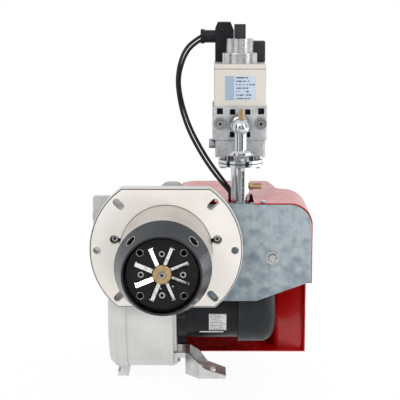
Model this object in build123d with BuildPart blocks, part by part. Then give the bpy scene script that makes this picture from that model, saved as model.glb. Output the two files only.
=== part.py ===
from build123d import *
from math import cos, radians, sin, sqrt, tan
import os

os.makedirs("parts", exist_ok=True)

# All sizes in millimetres. The origin is the centre of the mounting flange's front face, on the
# blast tube's axis. The flame points towards -Y, +X is to the right and +Z is up.

# Clearances
face_gap = 0.3
running_gap = 0.05
sliding_gap = 0.08

# Blast tube and flame cone
tube_radius = 64.0
tube_wall = 2.0
tube_front = -108.0
tube_back = 45.0
cone_mouth_y = -150.0
cone_mouth_radius = tube_radius - 13.0
cone_wall = 1.5
cone_spigot = 9.0
cone_hole_radius = 7.0
cone_hole_y = -127.0

# Mounting flange
flange_radius = 107.0
flange_thickness = 20.0
flange_top = 87.8
flange_bottom = -82.0
flange_chamfer = 2.5
flange_bore_radius = tube_radius + 0.7
slot_width = 10.0
slot_length = 18.5
slot_pitch_radius = 92.35
side_hole_radius = 5.25
side_hole_x = 96.0
clamp_angle = 12.1
clamp_pitch_radius = tube_radius + 9.2
clamp_notch_radius = 6.3
clamp_head_radius = 4.5
clamp_head_front = 8.0
clamp_ring_radius = tube_radius + 16.0
clamp_ring_thickness = 6.0

# Burner head
swirl_disc_y = -140.0
swirl_disc_radius = cone_mouth_radius - 5.0
swirl_disc_thickness = 1.5
swirl_slot_inner = 13.0
swirl_slot_outer = swirl_disc_radius - 9.0
swirl_slot_width = 6.0
vane_width = 8.5
vane_thickness = 0.8
vane_tilt = 32.0
nozzle_pitch_radius = 27.0
nozzle_radius = 4.0
nozzle_bore = 2.2
disc_hole_pitch = swirl_disc_radius - 6.2
disc_hole_radius = 4.2
cap_radius = 12.35
cap_thickness = 3.0
head_drum_radius = 32.0
head_drum_front = -126.0
head_drum_back = -112.0
lance_radius = 13.9
lance_wall = 2.0
lance_back = 58.0
rod_radius = 4.0
rod_back = 178.0

# Head duct and fan housing casting
duct_radius = 79.0
duct_rear_radius = duct_radius - 11.0
duct_wall = 4.5
collar_radius = duct_radius + 11.0
duct_front = 22.0
duct_seat_back = 36.0
duct_back = 135.0
duct_floor_z = -38.0
duct_floor_y = 60.0
fan_y = 120.0
fan_z = -106.0
volute_radius = 94.5
volute_wall = 4.0
volute_left = -59.0
volute_right = 8.0
rim_radius = 95.0
rim_width = 8.0
ring_left = -72.0
ring_radius = 97.5
eye_radius = 38.0
seat_radius = 74.0
seat_right = 12.5
boss_x = 6.6
boss_y = 90.0
boss_radius = 17.5
boss_height = 18.0
wing_radius = collar_radius + 12.0
wing_right = -10.0
wing_bottom = 20.0
wing_top = duct_radius
boss_top = duct_rear_radius + 7.5
foot_z = -213.0

# Air intake casting
intake_left = -85.0
intake_radius = 95.0
intake_wall = 2.5
box_left = -106.5
box_right = -81.0
box_front = 60.0
box_back = 150.0
box_top = 66.0
box_back_top = 51.0
box_slope_front = 70.0
box_bottom = -45.0
box_wall = 3.5
damper_y = 100.0
damper_z = 31.0
damper_reach = 24.0
shelf_top = damper_z - damper_reach - 1.5
shelf_z = shelf_top - 2.0
shelf_front = 106.0
damper_shaft_radius = 3.0
damper_knob_radius = 7.0

# Fan and motor, on an axis along X
impeller_radius = 62.0
impeller_left = -62.0
impeller_right = -10.0
blade_count = 24
shaft_radius = 6.0
shaft_left = -34.0
shaft_right = 130.0
bell_left = seat_right
bell_right = 27.0
shell_radius = 52.0
bell_radius = shell_radius + 2.0
shell_right = 107.0
cowl_radius = 57.6
cowl_left = 102.7
cowl_right = 157.0
cowl_wall = 2.0
cowl_round = 20.0
bearing_radius = 14.0
bearing_width = 9.0
stator_outer = shell_radius - 3.5
stator_inner = 27.6
rotor_radius = 27.0
cooling_fan_radius = 46.0

# Front plate, galvanised
plate_front = 48.0
plate_thickness = 1.5
plate_left = 20.0
plate_right = 206.5
plate_top = 56.0
plate_bottom = -85.0
plate_round = 32.0
plate_slope_x = 128.5
plate_slope_z = -56.0
lip_depth = 20.0

# Gas pipe and valve train
pipe_end_x = duct_radius + 4.0
pipe_bend_radius = 21.8
pipe_x = pipe_end_x + pipe_bend_radius
pipe_y = 72.0
lip_left = pipe_x - 18.8
lip_right = pipe_x + 57.2
pipe_radius = 13.45
pipe_bore = 10.85
pipe_top = 110.0
flange_disc_radius = 31.5
flange_disc_thickness = 3.5
gasket_thickness = 1.5
flange_screw_pitch = 25.2
nut_across = 36.0
nut_height = 6.5
skirt_radius = 15.5
skirt_height = 6.0
riser_radius = 8.5
elbow_z = 164.0
elbow_radius = 12.0
elbow_nut_radius = 15.0
elbow_nut_front = 92.0
elbow_nut_back = 104.0
valve_left = pipe_x - 40.0
valve_right = pipe_x + 39.2
valve_front = 110.0
valve_back = 192.0
valve_bottom = 115.0
valve_seam = 141.0
valve_top = 190.0
inlet_radius = 12.0
inlet_depth = 18.0
coil_left = pipe_x - 37.8
coil_right = pipe_x + 37.7
coil_front = 112.0
coil_top = 251.0
stem_y = 140.0
ring_cap_radius = 25.5
ring_cap_top = coil_top + 15.4
adjuster_radius = 19.5
adjuster_top = ring_cap_top + 20.6
adjuster_knob_radius = 8.5
adjuster_knob_top = adjuster_top + 20.7
plug_left = coil_left + 1.7
plug_right = plug_left + 27.8
plug_front = 166.0
plug_back = 190.0
plug_top = 310.0
gland_z = 288.5
gland_y = 176.5
gland_length = 21.8
gland_left = plug_left - gland_length

# Cover
cover_left = duct_radius + 4.0
cover_right = plate_right + 1.5
cover_front = 50.0
cover_back = 251.0
cover_rear_left = 18.0
cover_rear_cut = 18.0
wing_back = 160.0
step_x = 163.0
step_y = 178.0
rear_corner_x = 152.0
cover_top = 58.0
cover_bottom = -193.0
cover_wall = 1.6
cover_round = 32.0
corner_round = 12.0
cover_low_front = 152.0
left_wall_front = 190.0
shelf_front_y = 142.0
eave_left = duct_radius - 11.0
eave_front = 62.0
notch_left = pipe_x - 16.8
notch_right = pipe_x + 19.2
notch_back = 127.0

# Control parts on the tray behind the front plate
tray_z = -40.0
tray_left = duct_radius + 5.0
tray_right = plate_right - 8.5
tray_wing_back = 154.0
tray_step_x = step_x - 5.0
tray_step_y = step_y - 10.0
tray_rear_right = rear_corner_x - 3.0
tray_back = 234.0
terminal_width = 26.0
terminal_front = 92.0
terminal_depth = 24.0
control_left = tray_left + 8.0
control_right = tray_rear_right - 1.0
control_front = 186.0
control_back = tray_back
control_top = 22.0
transformer_left = tray_left + 36.0
transformer_right = tray_right - 6.5
transformer_front = 114.0
transformer_back = 150.0
transformer_top = 8.0
air_switch_x = tray_right - 29.5
air_switch_y = 88.0
air_switch_radius = 24.0
air_switch_low = 14.0
air_switch_width = 30.0
air_switch_height = 36.0
button_x = 120.0
button_z = 0.0
button_radius = 8.0
button_proud = 5.0
button_depth = 16.0
terminal_top = 32.0

# Leads
lead_radius = 2.3
lead_offset = 2.75
trim_depth = 15.0


def plane_y(y):
    """Plane across the Y axis. Its own x is X, its own y is Z, and it extrudes towards -Y."""
    return Plane.XZ.offset(-y)


def plane_x(x):
    """Plane across the X axis. Its own x is Y, its own y is Z, and it extrudes towards +X."""
    return Plane.YZ.offset(x)


def plane_fan(x):
    """Plane across the motor's axis, centred on it."""
    return Plane(origin=(x, fan_y, fan_z), x_dir=(0, 1, 0), z_dir=(1, 0, 0))


def box_between(low, high, mode=Mode.ADD):
    """Box from its low corner to its high corner, for use inside a part block."""
    size = [b - a for a, b in zip(low, high)]
    with Locations(tuple((a + b) / 2 for a, b in zip(low, high))):
        Box(*size, mode=mode)


# ---- Blast tube and flame cone ----

with BuildPart() as blast_tube:
    with BuildSketch(plane_y(tube_back)):
        Circle(tube_radius)
        Circle(tube_radius - tube_wall, mode=Mode.SUBTRACT)
    extrude(amount=tube_back - tube_front)
blast_tube.part.label = "blast_tube"
export_step(blast_tube.part, "parts/blast_tube.step")

spigot_radius = tube_radius - tube_wall
rim_depth = 3.0

with BuildPart() as flame_cone:
    with BuildSketch(Plane.XY):
        with BuildLine():
            Polyline(
                (tube_radius, tube_front),
                (cone_mouth_radius, cone_mouth_y + rim_depth + 1.5),
                (cone_mouth_radius + 1.0, cone_mouth_y + rim_depth),
                (cone_mouth_radius + 1.0, cone_mouth_y),
                (cone_mouth_radius - cone_wall, cone_mouth_y),
                (cone_mouth_radius - cone_wall, cone_mouth_y + rim_depth),
                (spigot_radius - cone_wall, tube_front - 2.0),
                (spigot_radius - cone_wall, tube_front + cone_spigot),
                (spigot_radius, tube_front + cone_spigot),
                (spigot_radius, tube_front),
                close=True,
            )
        make_face()
    revolve(axis=Axis.Y)
    for turn in (45, 135, 225, 315):
        outward = (cos(radians(turn)), 0, sin(radians(turn)))
        with BuildSketch(Plane(origin=(0, cone_hole_y, 0), z_dir=outward)):
            Circle(cone_hole_radius)
        extrude(amount=tube_radius + 5, mode=Mode.SUBTRACT)
flame_cone.part.label = "flame_cone"
export_step(flame_cone.part, "parts/flame_cone.step")

# ---- Mounting flange, which slides on the tube until its clamp is tight ----

with BuildPart() as mounting_flange:
    with BuildSketch(plane_y(flange_thickness)) as flange_outline:
        Circle(flange_radius)
        with Locations((0, (flange_top + flange_bottom) / 2)):
            Rectangle(2 * flange_radius + 10, flange_top - flange_bottom, mode=Mode.INTERSECT)
        Circle(flange_bore_radius, mode=Mode.SUBTRACT)
        for turn in (45, 135, 225, 315):
            with PolarLocations(slot_pitch_radius, 1, start_angle=turn):
                SlotOverall(slot_length, slot_width, mode=Mode.SUBTRACT)
        with Locations((side_hole_x, 0), (-side_hole_x, 0)):
            Circle(side_hole_radius, mode=Mode.SUBTRACT)
        for turn in (clamp_angle, 180 - clamp_angle):
            with PolarLocations(clamp_pitch_radius, 1, start_angle=turn):
                Circle(clamp_notch_radius, mode=Mode.SUBTRACT)
            with PolarLocations(clamp_pitch_radius - 5, 1, start_angle=turn):
                Rectangle(10, 7, mode=Mode.SUBTRACT)
    extrude(amount=flange_thickness)
    with BuildSketch(plane_y(flange_thickness)):
        Circle(clamp_ring_radius + face_gap)
        Circle(flange_bore_radius, mode=Mode.SUBTRACT)
    extrude(amount=clamp_ring_thickness, mode=Mode.SUBTRACT)
    outer_edges = mounting_flange.faces().sort_by(Axis.Y)[0].outer_wire().edges()
    chamfer(outer_edges, length=flange_chamfer)
mounting_flange.part.label = "mounting_flange"
export_step(mounting_flange.part, "parts/mounting_flange.step")

ring_front = flange_thickness - clamp_ring_thickness

with BuildPart() as clamp_ring:
    with BuildSketch(plane_y(ring_front + clamp_ring_thickness)):
        Circle(clamp_ring_radius)
        Circle(tube_radius + sliding_gap, mode=Mode.SUBTRACT)
        with Locations((0, -clamp_ring_radius)):
            Rectangle(4, 2 * (clamp_ring_radius - tube_radius) + 4, mode=Mode.SUBTRACT)
    extrude(amount=clamp_ring_thickness)
    with BuildSketch(plane_y(ring_front)):
        for turn in (clamp_angle, 180 - clamp_angle):
            with PolarLocations(clamp_pitch_radius, 1, start_angle=turn):
                Circle(2.5)
    extrude(amount=-clamp_ring_thickness, mode=Mode.SUBTRACT)
clamp_ring.part.label = "clamp_ring"
export_step(clamp_ring.part, "parts/clamp_ring.step")

with BuildPart() as clamp_screws:
    with BuildSketch(plane_y(ring_front)):
        for turn in (clamp_angle, 180 - clamp_angle):
            with PolarLocations(clamp_pitch_radius, 1, start_angle=turn):
                Circle(clamp_head_radius)
    extrude(amount=ring_front - clamp_head_front)
    with BuildSketch(plane_y(clamp_head_front)):
        for turn in (clamp_angle, 180 - clamp_angle):
            with PolarLocations(clamp_pitch_radius, 1, start_angle=turn):
                RegularPolygon(2.4, 6)
    extrude(amount=-3.0, mode=Mode.SUBTRACT)
    with BuildSketch(plane_y(ring_front)):
        for turn in (clamp_angle, 180 - clamp_angle):
            with PolarLocations(clamp_pitch_radius, 1, start_angle=turn):
                Circle(2.5)
    extrude(amount=-clamp_ring_thickness)
clamp_screws.part.label = "clamp_screws"
export_step(clamp_screws.part, "parts/clamp_screws.step")

# ---- Burner head: swirl disc, vanes, nozzles, drum and lance, which slide together ----

disc_back = swirl_disc_y + swirl_disc_thickness
stem_radius = 6.0
electrode_tips = ((-1.5, -17.0), (14.1, -14.1))

with BuildPart() as swirl_disc:
    with BuildSketch(plane_y(disc_back)):
        Circle(swirl_disc_radius)
        Circle(stem_radius, mode=Mode.SUBTRACT)
        with PolarLocations((swirl_slot_inner + swirl_slot_outer) / 2, 8, start_angle=22.5):
            Rectangle(swirl_slot_outer - swirl_slot_inner, swirl_slot_width, mode=Mode.SUBTRACT)
        with PolarLocations(nozzle_pitch_radius, 4):
            Circle(nozzle_radius, mode=Mode.SUBTRACT)
        with PolarLocations(disc_hole_pitch, 4, start_angle=45):
            Circle(disc_hole_radius, mode=Mode.SUBTRACT)
        with Locations(*electrode_tips):
            Circle(1.9, mode=Mode.SUBTRACT)
    extrude(amount=swirl_disc_thickness)
    with BuildSketch(plane_y(disc_back + 4.0)):
        Circle(swirl_disc_radius)
        Circle(swirl_disc_radius - 1.5, mode=Mode.SUBTRACT)
    extrude(amount=4.0)
swirl_disc.part.label = "swirl_disc"
export_step(swirl_disc.part, "parts/swirl_disc.step")

vane_length = swirl_slot_outer - swirl_slot_inner
vane_middle = (swirl_slot_inner + swirl_slot_outer) / 2

with BuildPart(plane_y(swirl_disc_y + swirl_disc_thickness / 2)) as swirl_vanes:
    with PolarLocations(vane_middle, 8, start_angle=22.5):
        Box(vane_length, vane_width, vane_thickness, rotation=(vane_tilt, 0, 0))
swirl_vanes.part.label = "swirl_vanes"
export_step(swirl_vanes.part, "parts/swirl_vanes.step")

with BuildPart() as gas_head:
    with BuildSketch(plane_y(head_drum_back)):
        Circle(head_drum_radius)
        Circle(lance_radius, mode=Mode.SUBTRACT)
    extrude(amount=head_drum_back - head_drum_front)
    with BuildSketch(plane_y(head_drum_back - 2.0)):
        Circle(head_drum_radius - 2.0)
    extrude(amount=head_drum_back - head_drum_front - 4.0, mode=Mode.SUBTRACT)
    with BuildSketch(plane_y(head_drum_front + 2.0)):
        Circle(lance_radius)
    extrude(amount=2.0)
    with BuildSketch(plane_y(head_drum_front)):
        Circle(stem_radius)
    extrude(amount=head_drum_front - swirl_disc_y)
    with BuildSketch(plane_y(head_drum_front + 2.0)):
        with PolarLocations(nozzle_pitch_radius, 4):
            Circle(nozzle_bore)
    extrude(amount=2.0, mode=Mode.SUBTRACT)
gas_head.part.label = "gas_head"
export_step(gas_head.part, "parts/gas_head.step")

with BuildPart() as gas_nozzles:
    with BuildSketch(plane_y(head_drum_front)):
        with PolarLocations(nozzle_pitch_radius, 4):
            Circle(nozzle_radius)
            Circle(nozzle_bore, mode=Mode.SUBTRACT)
    extrude(amount=head_drum_front - swirl_disc_y + 2.0)
gas_nozzles.part.label = "gas_nozzles"
export_step(gas_nozzles.part, "parts/gas_nozzles.step")

cap_front = swirl_disc_y - cap_thickness

with BuildPart() as nozzle_cap:
    with BuildSketch(plane_y(swirl_disc_y)):
        Circle(cap_radius)
    extrude(amount=cap_thickness)
    chamfer(nozzle_cap.faces().sort_by(Axis.Y)[0].edges(), length=0.8)
nozzle_cap.part.label = "nozzle_cap"
export_step(nozzle_cap.part, "parts/nozzle_cap.step")

with BuildPart() as cap_screw:
    with BuildSketch(plane_y(cap_front)):
        Circle(4.0)
    extrude(amount=3.0)
    with BuildSketch(plane_y(cap_front - 3.0)):
        RegularPolygon(2.3, 6)
    extrude(amount=-2.4, mode=Mode.SUBTRACT)
cap_screw.part.label = "cap_screw"
export_step(cap_screw.part, "parts/cap_screw.step")

with BuildPart() as gas_lance:
    with BuildSketch(plane_y(lance_back)):
        Circle(lance_radius)
        Circle(lance_radius - lance_wall, mode=Mode.SUBTRACT)
        Rectangle(2 * (lance_radius - lance_wall) + 1, 6)
    extrude(amount=6.0)
    with BuildSketch(plane_y(lance_back)):
        Circle(lance_radius)
        Circle(lance_radius - lance_wall, mode=Mode.SUBTRACT)
    extrude(amount=lance_back - head_drum_back + 2.0)
gas_lance.part.label = "gas_lance"
export_step(gas_lance.part, "parts/gas_lance.step")

with BuildPart() as head_rod:
    with BuildSketch(plane_y(rod_back)):
        Circle(rod_radius)
    extrude(amount=rod_back - lance_back)
    with BuildSketch(plane_y(rod_back)):
        Circle(8.0)
    extrude(amount=8.0)
head_rod.part.label = "head_rod"
export_step(head_rod.part, "parts/head_rod.step")

insulator_radius = 5.0
insulator_front = -118.0
insulator_back = -60.0
pin_radius = 1.2
electrode_places = ((-13.0, -41.0), (13.0, -41.0))

with BuildPart() as insulators:
    with BuildSketch(plane_y(insulator_back)):
        with Locations(*electrode_places):
            Circle(insulator_radius)
            Circle(pin_radius, mode=Mode.SUBTRACT)
    extrude(amount=insulator_back - insulator_front)
insulators.part.label = "insulators"
export_step(insulators.part, "parts/insulators.step")

with BuildPart() as electrodes:
    for (x, z), (tip_x, tip_z) in zip(electrode_places, electrode_tips):
        with BuildLine():
            FilletPolyline(
                (x, insulator_back + 12, z),
                (x, insulator_front - 6, z),
                (tip_x, swirl_disc_y + 8, tip_z),
                (tip_x, swirl_disc_y - 6, tip_z),
                radius=3.0,
            )
        with BuildSketch(plane_y(insulator_back + 12)):
            with Locations((x, z)):
                Circle(pin_radius)
        sweep()
electrodes.part.label = "electrodes"
export_step(electrodes.part, "parts/electrodes.step")

with BuildPart() as electrode_clamp:
    with BuildSketch(plane_y(-84.0)):
        with Locations(*electrode_places):
            Circle(insulator_radius + 2.5)
        with Locations((0, -30)):
            Rectangle(16, 30)
        Circle(lance_radius + 3)
        Circle(lance_radius, mode=Mode.SUBTRACT)
        with Locations(*electrode_places):
            Circle(insulator_radius, mode=Mode.SUBTRACT)
    extrude(amount=6.0)
electrode_clamp.part.label = "electrode_clamp"
export_step(electrode_clamp.part, "parts/electrode_clamp.step")

# ---- Gas manifold: brings the gas from the pipe to the sliding lance ----

socket_radius = 18.0
socket_front = 30.0
socket_back = 106.0
branch_radius = 12.0

with BuildPart() as gas_manifold:
    with BuildSketch(plane_y(socket_back)):
        Circle(socket_radius)
    extrude(amount=socket_back - socket_front)
    with BuildSketch(plane_x(0)):
        with Locations((pipe_y, 0)):
            Circle(branch_radius)
    extrude(amount=pipe_end_x)
    with BuildSketch(plane_y(socket_back - 3)):
        Circle(lance_radius + sliding_gap)
    extrude(amount=socket_back - 3 - socket_front, mode=Mode.SUBTRACT)
    with BuildSketch(plane_x(0)):
        with Locations((pipe_y, 0)):
            Circle(branch_radius - 2.0)
    extrude(amount=pipe_end_x, mode=Mode.SUBTRACT)
    with BuildSketch(plane_y(socket_back)):
        Circle(rod_radius + running_gap)
    extrude(amount=10, mode=Mode.SUBTRACT)
gas_manifold.part.label = "gas_manifold"
export_step(gas_manifold.part, "parts/gas_manifold.step")

# ---- Fan housing casting: head duct, volute, rims and left foot ----

collar_front = plate_front + plate_thickness
collar_back = collar_front + 5.0
pipe_pad_radius = 19.0
pipe_pad_left = duct_rear_radius - 8.0
left_foot_right = -60.0
left_foot_front = 93.0
left_foot_back = 150.0
left_sole_left = ring_left - 4.4
left_sole_top = foot_z + 7.0
foot_overlap = 20.0

with BuildPart() as fan_housing:
    with BuildSketch(plane_y(duct_back)):
        Circle(duct_rear_radius)
        with Locations((0, duct_floor_z - 50)):
            Rectangle(2 * duct_radius + 10, 100, mode=Mode.SUBTRACT)
    extrude(amount=duct_back - duct_floor_y)
    with BuildSketch(plane_y(duct_floor_y)):
        Circle(duct_radius)
    extrude(amount=duct_floor_y - duct_front)
    with BuildSketch(plane_y(collar_back)):
        Circle(collar_radius)
        with Locations((plate_left - collar_radius, 0)):
            Rectangle(2 * collar_radius, 2 * collar_radius, mode=Mode.SUBTRACT)
        with Locations((collar_radius, plate_top + 49)):
            Rectangle(2 * collar_radius, 100, mode=Mode.SUBTRACT)
        with Locations((collar_radius, plate_bottom - 49)):
            Rectangle(2 * collar_radius, 100, mode=Mode.SUBTRACT)
    extrude(amount=collar_back - collar_front)
    with BuildSketch(plane_x(pipe_pad_left)):
        with Locations((pipe_y, 0)):
            Circle(pipe_pad_radius)
    extrude(amount=pipe_end_x - pipe_pad_left)
    # wing of the casting behind the flange's upper left slot
    with BuildSketch(plane_y(collar_back)):
        Circle(wing_radius)
        with Locations(((wing_right - wing_radius) / 2, (wing_bottom + wing_top) / 2)):
            Rectangle(wing_radius + wing_right, wing_top - wing_bottom, mode=Mode.INTERSECT)
    extrude(amount=collar_back - collar_front)
    with BuildSketch(Plane.XY.offset(boss_top - boss_height)):
        with Locations((boss_x, boss_y)):
            Circle(boss_radius)
    extrude(amount=boss_height)
    # volute with its rims
    with BuildSketch(plane_fan(volute_left)):
        Circle(volute_radius)
    extrude(amount=volute_right - volute_left)
    with BuildSketch(plane_fan(volute_right - rim_width)):
        Circle(rim_radius)
    extrude(amount=rim_width)
    with BuildSketch(plane_fan(ring_left)):
        Circle(ring_radius)
    extrude(amount=volute_left - ring_left)
    with BuildSketch(plane_fan(volute_right)):
        Circle(seat_radius)
    extrude(amount=seat_right - volute_right)
    box_between(
        (ring_left, left_foot_front, foot_z),
        (left_foot_right, left_foot_back, fan_z - volute_radius + foot_overlap),
    )
    box_between((left_sole_left, left_foot_front, foot_z), (ring_left, left_foot_back, left_sole_top))
    # inside of the volute
    with BuildSketch(plane_fan(ring_left + 3.0)):
        Circle(volute_radius - volute_wall)
    extrude(amount=volute_right - volute_wall - ring_left - 3.0, mode=Mode.SUBTRACT)
    with BuildSketch(plane_fan(ring_left)):
        Circle(eye_radius)
    extrude(amount=5, mode=Mode.SUBTRACT)
    with BuildSketch(plane_fan(volute_right - volute_wall)):
        Circle(shaft_radius + 4)
    extrude(amount=seat_right - volute_right + volute_wall, mode=Mode.SUBTRACT)
    # inside of the duct
    with BuildSketch(plane_y(duct_back - duct_wall)):
        Circle(duct_rear_radius - duct_wall)
        with Locations((0, duct_floor_z + duct_wall - 50)):
            Rectangle(2 * duct_radius + 10, 100, mode=Mode.SUBTRACT)
    extrude(amount=duct_back - duct_floor_y, mode=Mode.SUBTRACT)
    with BuildSketch(plane_y(duct_floor_y - duct_wall)):
        Circle(duct_radius - duct_wall)
    extrude(amount=duct_floor_y - duct_wall - duct_seat_back, mode=Mode.SUBTRACT)
    with BuildSketch(plane_y(duct_seat_back)):
        Circle(tube_radius)
    extrude(amount=duct_seat_back - duct_front, mode=Mode.SUBTRACT)
    with BuildSketch(plane_x(pipe_pad_left - 10.0)):
        with Locations((pipe_y, 0)):
            Circle(branch_radius)
    extrude(amount=pipe_end_x - pipe_pad_left + 10.0, mode=Mode.SUBTRACT)
    with BuildSketch(plane_y(duct_back)):
        Circle(rod_radius + running_gap)
    extrude(amount=duct_wall + 1, mode=Mode.SUBTRACT)
    with BuildSketch(Plane.XY.offset(boss_top - boss_height)):
        with Locations((boss_x, boss_y)):
            Circle(boss_radius - 5.5)
    extrude(amount=boss_height, mode=Mode.SUBTRACT)
fan_housing.part.label = "fan_housing"
export_step(fan_housing.part, "parts/fan_housing.step")

duct_cap_height = 5.8
duct_cap_taper = 50.0

with BuildPart() as duct_cap:
    with BuildSketch(Plane.XY.offset(boss_top)):
        with Locations((boss_x, boss_y)):
            Circle(boss_radius)
    extrude(amount=duct_cap_height, taper=duct_cap_taper)
duct_cap.part.label = "duct_cap"
export_step(duct_cap.part, "parts/duct_cap.step")

# ---- Air intake casting, left of the volute, with its damper box ----

with BuildPart() as air_intake:
    with BuildSketch(plane_fan(intake_left)):
        Circle(intake_radius)
    extrude(amount=ring_left - intake_left)
    chamfer(air_intake.faces().sort_by(Axis.X)[0].edges(), length=8.0)
    box_between((box_left, box_front, box_bottom), (box_right, box_back, box_top))
    fillet(air_intake.edges().filter_by(Axis.Y).filter_by(lambda e: e.center().X < box_left + 1), 3.0)
    with BuildSketch(plane_y(duct_floor_y + face_gap)):
        Circle(duct_radius)
    extrude(amount=duct_floor_y + face_gap - duct_front, mode=Mode.SUBTRACT)
    with BuildSketch(plane_fan(intake_left + intake_wall)):
        Circle(intake_radius - intake_wall - 6)
    extrude(amount=ring_left - intake_left - intake_wall, mode=Mode.SUBTRACT)
    with BuildSketch(plane_x(box_left)):
        with BuildLine():
            Polyline(
                (box_slope_front, box_top), (box_back, box_back_top), (box_back, box_top), close=True,
            )
        make_face()
    extrude(amount=box_right - box_left, mode=Mode.SUBTRACT)
    box_between(
        (box_left + box_wall, box_front + box_wall, box_bottom + box_wall),
        (box_right - box_wall, box_back - box_wall, shelf_z),
        mode=Mode.SUBTRACT,
    )
    box_between(
        (box_left + box_wall, box_front + box_wall, shelf_z),
        (box_right - box_wall, shelf_front, shelf_top),
        mode=Mode.SUBTRACT,
    )
    with BuildSketch(plane_x(box_left + box_wall)):
        with BuildLine():
            Polyline(
                (box_front + box_wall, shelf_top), (box_back, shelf_top), (box_back, box_back_top - box_wall),
                (box_slope_front, box_top - box_wall), (box_front + box_wall, box_top - box_wall), close=True,
            )
        make_face()
    extrude(amount=box_right - box_left - 2 * box_wall, mode=Mode.SUBTRACT)
    # way through from the box into the half volute, and the damper's two bearings
    with BuildSketch(plane_x(box_right - box_wall)):
        with Locations((fan_y - 15, box_bottom + box_wall + 10)):
            Rectangle(60, 20)
    extrude(amount=box_wall, mode=Mode.SUBTRACT)
    with BuildSketch(plane_x(box_left)):
        with Locations((damper_y, damper_z)):
            Circle(damper_shaft_radius + running_gap)
    extrude(amount=box_right - 1 - box_left, mode=Mode.SUBTRACT)
air_intake.part.label = "air_intake"
export_step(air_intake.part, "parts/air_intake.step")

with BuildPart() as air_damper:
    with BuildSketch(plane_x(box_left - 2.0)):
        with Locations((damper_y, damper_z)):
            Circle(damper_shaft_radius)
    extrude(amount=box_right - 1.5 - box_left + 2.0)
    box_between(
        (box_left + box_wall + 0.4, damper_y - 0.8, damper_z - damper_reach),
        (box_right - box_wall - 0.4, damper_y + 0.8, damper_z + damper_reach),
    )
air_damper.part.label = "air_damper"
export_step(air_damper.part, "parts/air_damper.step")

with BuildPart() as damper_knob:
    with BuildSketch(plane_x(box_left - face_gap)):
        with Locations((damper_y, damper_z)):
            Circle(damper_knob_radius)
            Circle(damper_shaft_radius, mode=Mode.SUBTRACT)
    extrude(amount=-3.5)
damper_knob.part.label = "damper_knob"
export_step(damper_knob.part, "parts/damper_knob.step")

# ---- Right foot bracket ----

foot_plate = 5.0
rib_thickness = 5.0
web_left = 24.6
web_right = 31.0
bracket_front = 80.0
bracket_corner = (44.8, bracket_front)
bracket_side = (web_left, 103.0)
bracket_right = 85.4
bracket_back = 150.0
arm_top = fan_z - seat_radius - face_gap
arm_height = 8.0
slope_right = bracket_corner[0] + rib_thickness + 1.0
slope_low = -193.5

with BuildPart() as foot_bracket:
    with BuildSketch(Plane.XY.offset(foot_z)):
        with BuildLine():
            Polyline(
                bracket_side, bracket_corner, (bracket_right, bracket_front), (bracket_right, 120.0),
                (60.0, bracket_back), (web_left, bracket_back), close=True,
            )
        make_face()
        with Locations((66.0, 111.0)):
            SlotOverall(22, 8.5, rotation=90, mode=Mode.SUBTRACT)
    extrude(amount=foot_plate)
    # front web, with its upper edge sloping down to the right
    with BuildSketch(plane_y(bracket_front + rib_thickness)):
        with BuildLine():
            Polyline(
                (bracket_corner[0], foot_z + 4.0), (bracket_right, foot_z + 4.0), (bracket_right, -208.6),
                (54.2, -198.3), (bracket_corner[0], -191.0), close=True,
            )
        make_face()
    extrude(amount=rib_thickness)
    # diagonal web at the front left, under the sloping line of the front web
    with BuildSketch(Plane.XY.offset(foot_z + 4.0)):
        with BuildLine():
            Polyline(
                bracket_side, bracket_corner, (bracket_corner[0] + rib_thickness, bracket_front),
                (bracket_corner[0] + rib_thickness, bracket_front + 3.0), (web_right, 103.0), close=True,
            )
        make_face()
    extrude(amount=arm_top - foot_z - 4.0)
    with BuildSketch(plane_y(bracket_back)):
        with BuildLine():
            Polyline(
                (web_right, arm_top), (slope_right, slope_low), (slope_right, arm_top + 1.0),
                (web_right, arm_top + 1.0), close=True,
            )
        make_face()
    extrude(amount=bracket_back - bracket_front + 1.0, mode=Mode.SUBTRACT)
    # rear web
    with BuildSketch(plane_y(bracket_back)):
        with BuildLine():
            Polyline(
                (web_left, foot_z + 4.0), (60.0, foot_z + 4.0), (44.0, foot_z + 25.0), (web_right, arm_top),
                (web_left, arm_top), close=True,
            )
        make_face()
    extrude(amount=rib_thickness)
    box_between((web_left, bracket_side[1], foot_z + 2.0), (web_right, bracket_back, arm_top))
    box_between((volute_right, bracket_side[1], arm_top - arm_height), (web_right, bracket_back, arm_top))
    box_between((volute_right, bracket_side[1], arm_top - 18.0), (volute_right + 5.0, bracket_back, arm_top))
foot_bracket.part.label = "foot_bracket"
export_step(foot_bracket.part, "parts/foot_bracket.step")

# ---- Impeller, shaft, rotor and cooling fan ----

with BuildPart() as impeller:
    with BuildSketch(plane_fan(impeller_right - 2)):
        Circle(impeller_radius)
        Circle(shaft_radius, mode=Mode.SUBTRACT)
    extrude(amount=2)
    with BuildSketch(plane_fan(impeller_left)):
        Circle(impeller_radius)
        Circle(impeller_radius - 13, mode=Mode.SUBTRACT)
    extrude(amount=2)
    with BuildSketch(plane_fan(shaft_left + 4)):
        Circle(shaft_radius + 5)
        Circle(shaft_radius, mode=Mode.SUBTRACT)
    extrude(amount=impeller_right - shaft_left - 5)
    with BuildSketch(plane_fan(impeller_left + 1)):
        with PolarLocations(impeller_radius - 6.8, blade_count):
            Rectangle(11.5, 1.2, rotation=25)
    extrude(amount=impeller_right - impeller_left - 2)
impeller.part.label = "impeller"
export_step(impeller.part, "parts/impeller.step")

with BuildPart() as rotor_shaft:
    with BuildSketch(plane_fan(shaft_left)):
        Circle(shaft_radius)
    extrude(amount=shaft_right - shaft_left)
    with BuildSketch(plane_fan(37)):
        Circle(rotor_radius)
    extrude(amount=48)
rotor_shaft.part.label = "rotor_shaft"
export_step(rotor_shaft.part, "parts/rotor_shaft.step")

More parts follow.
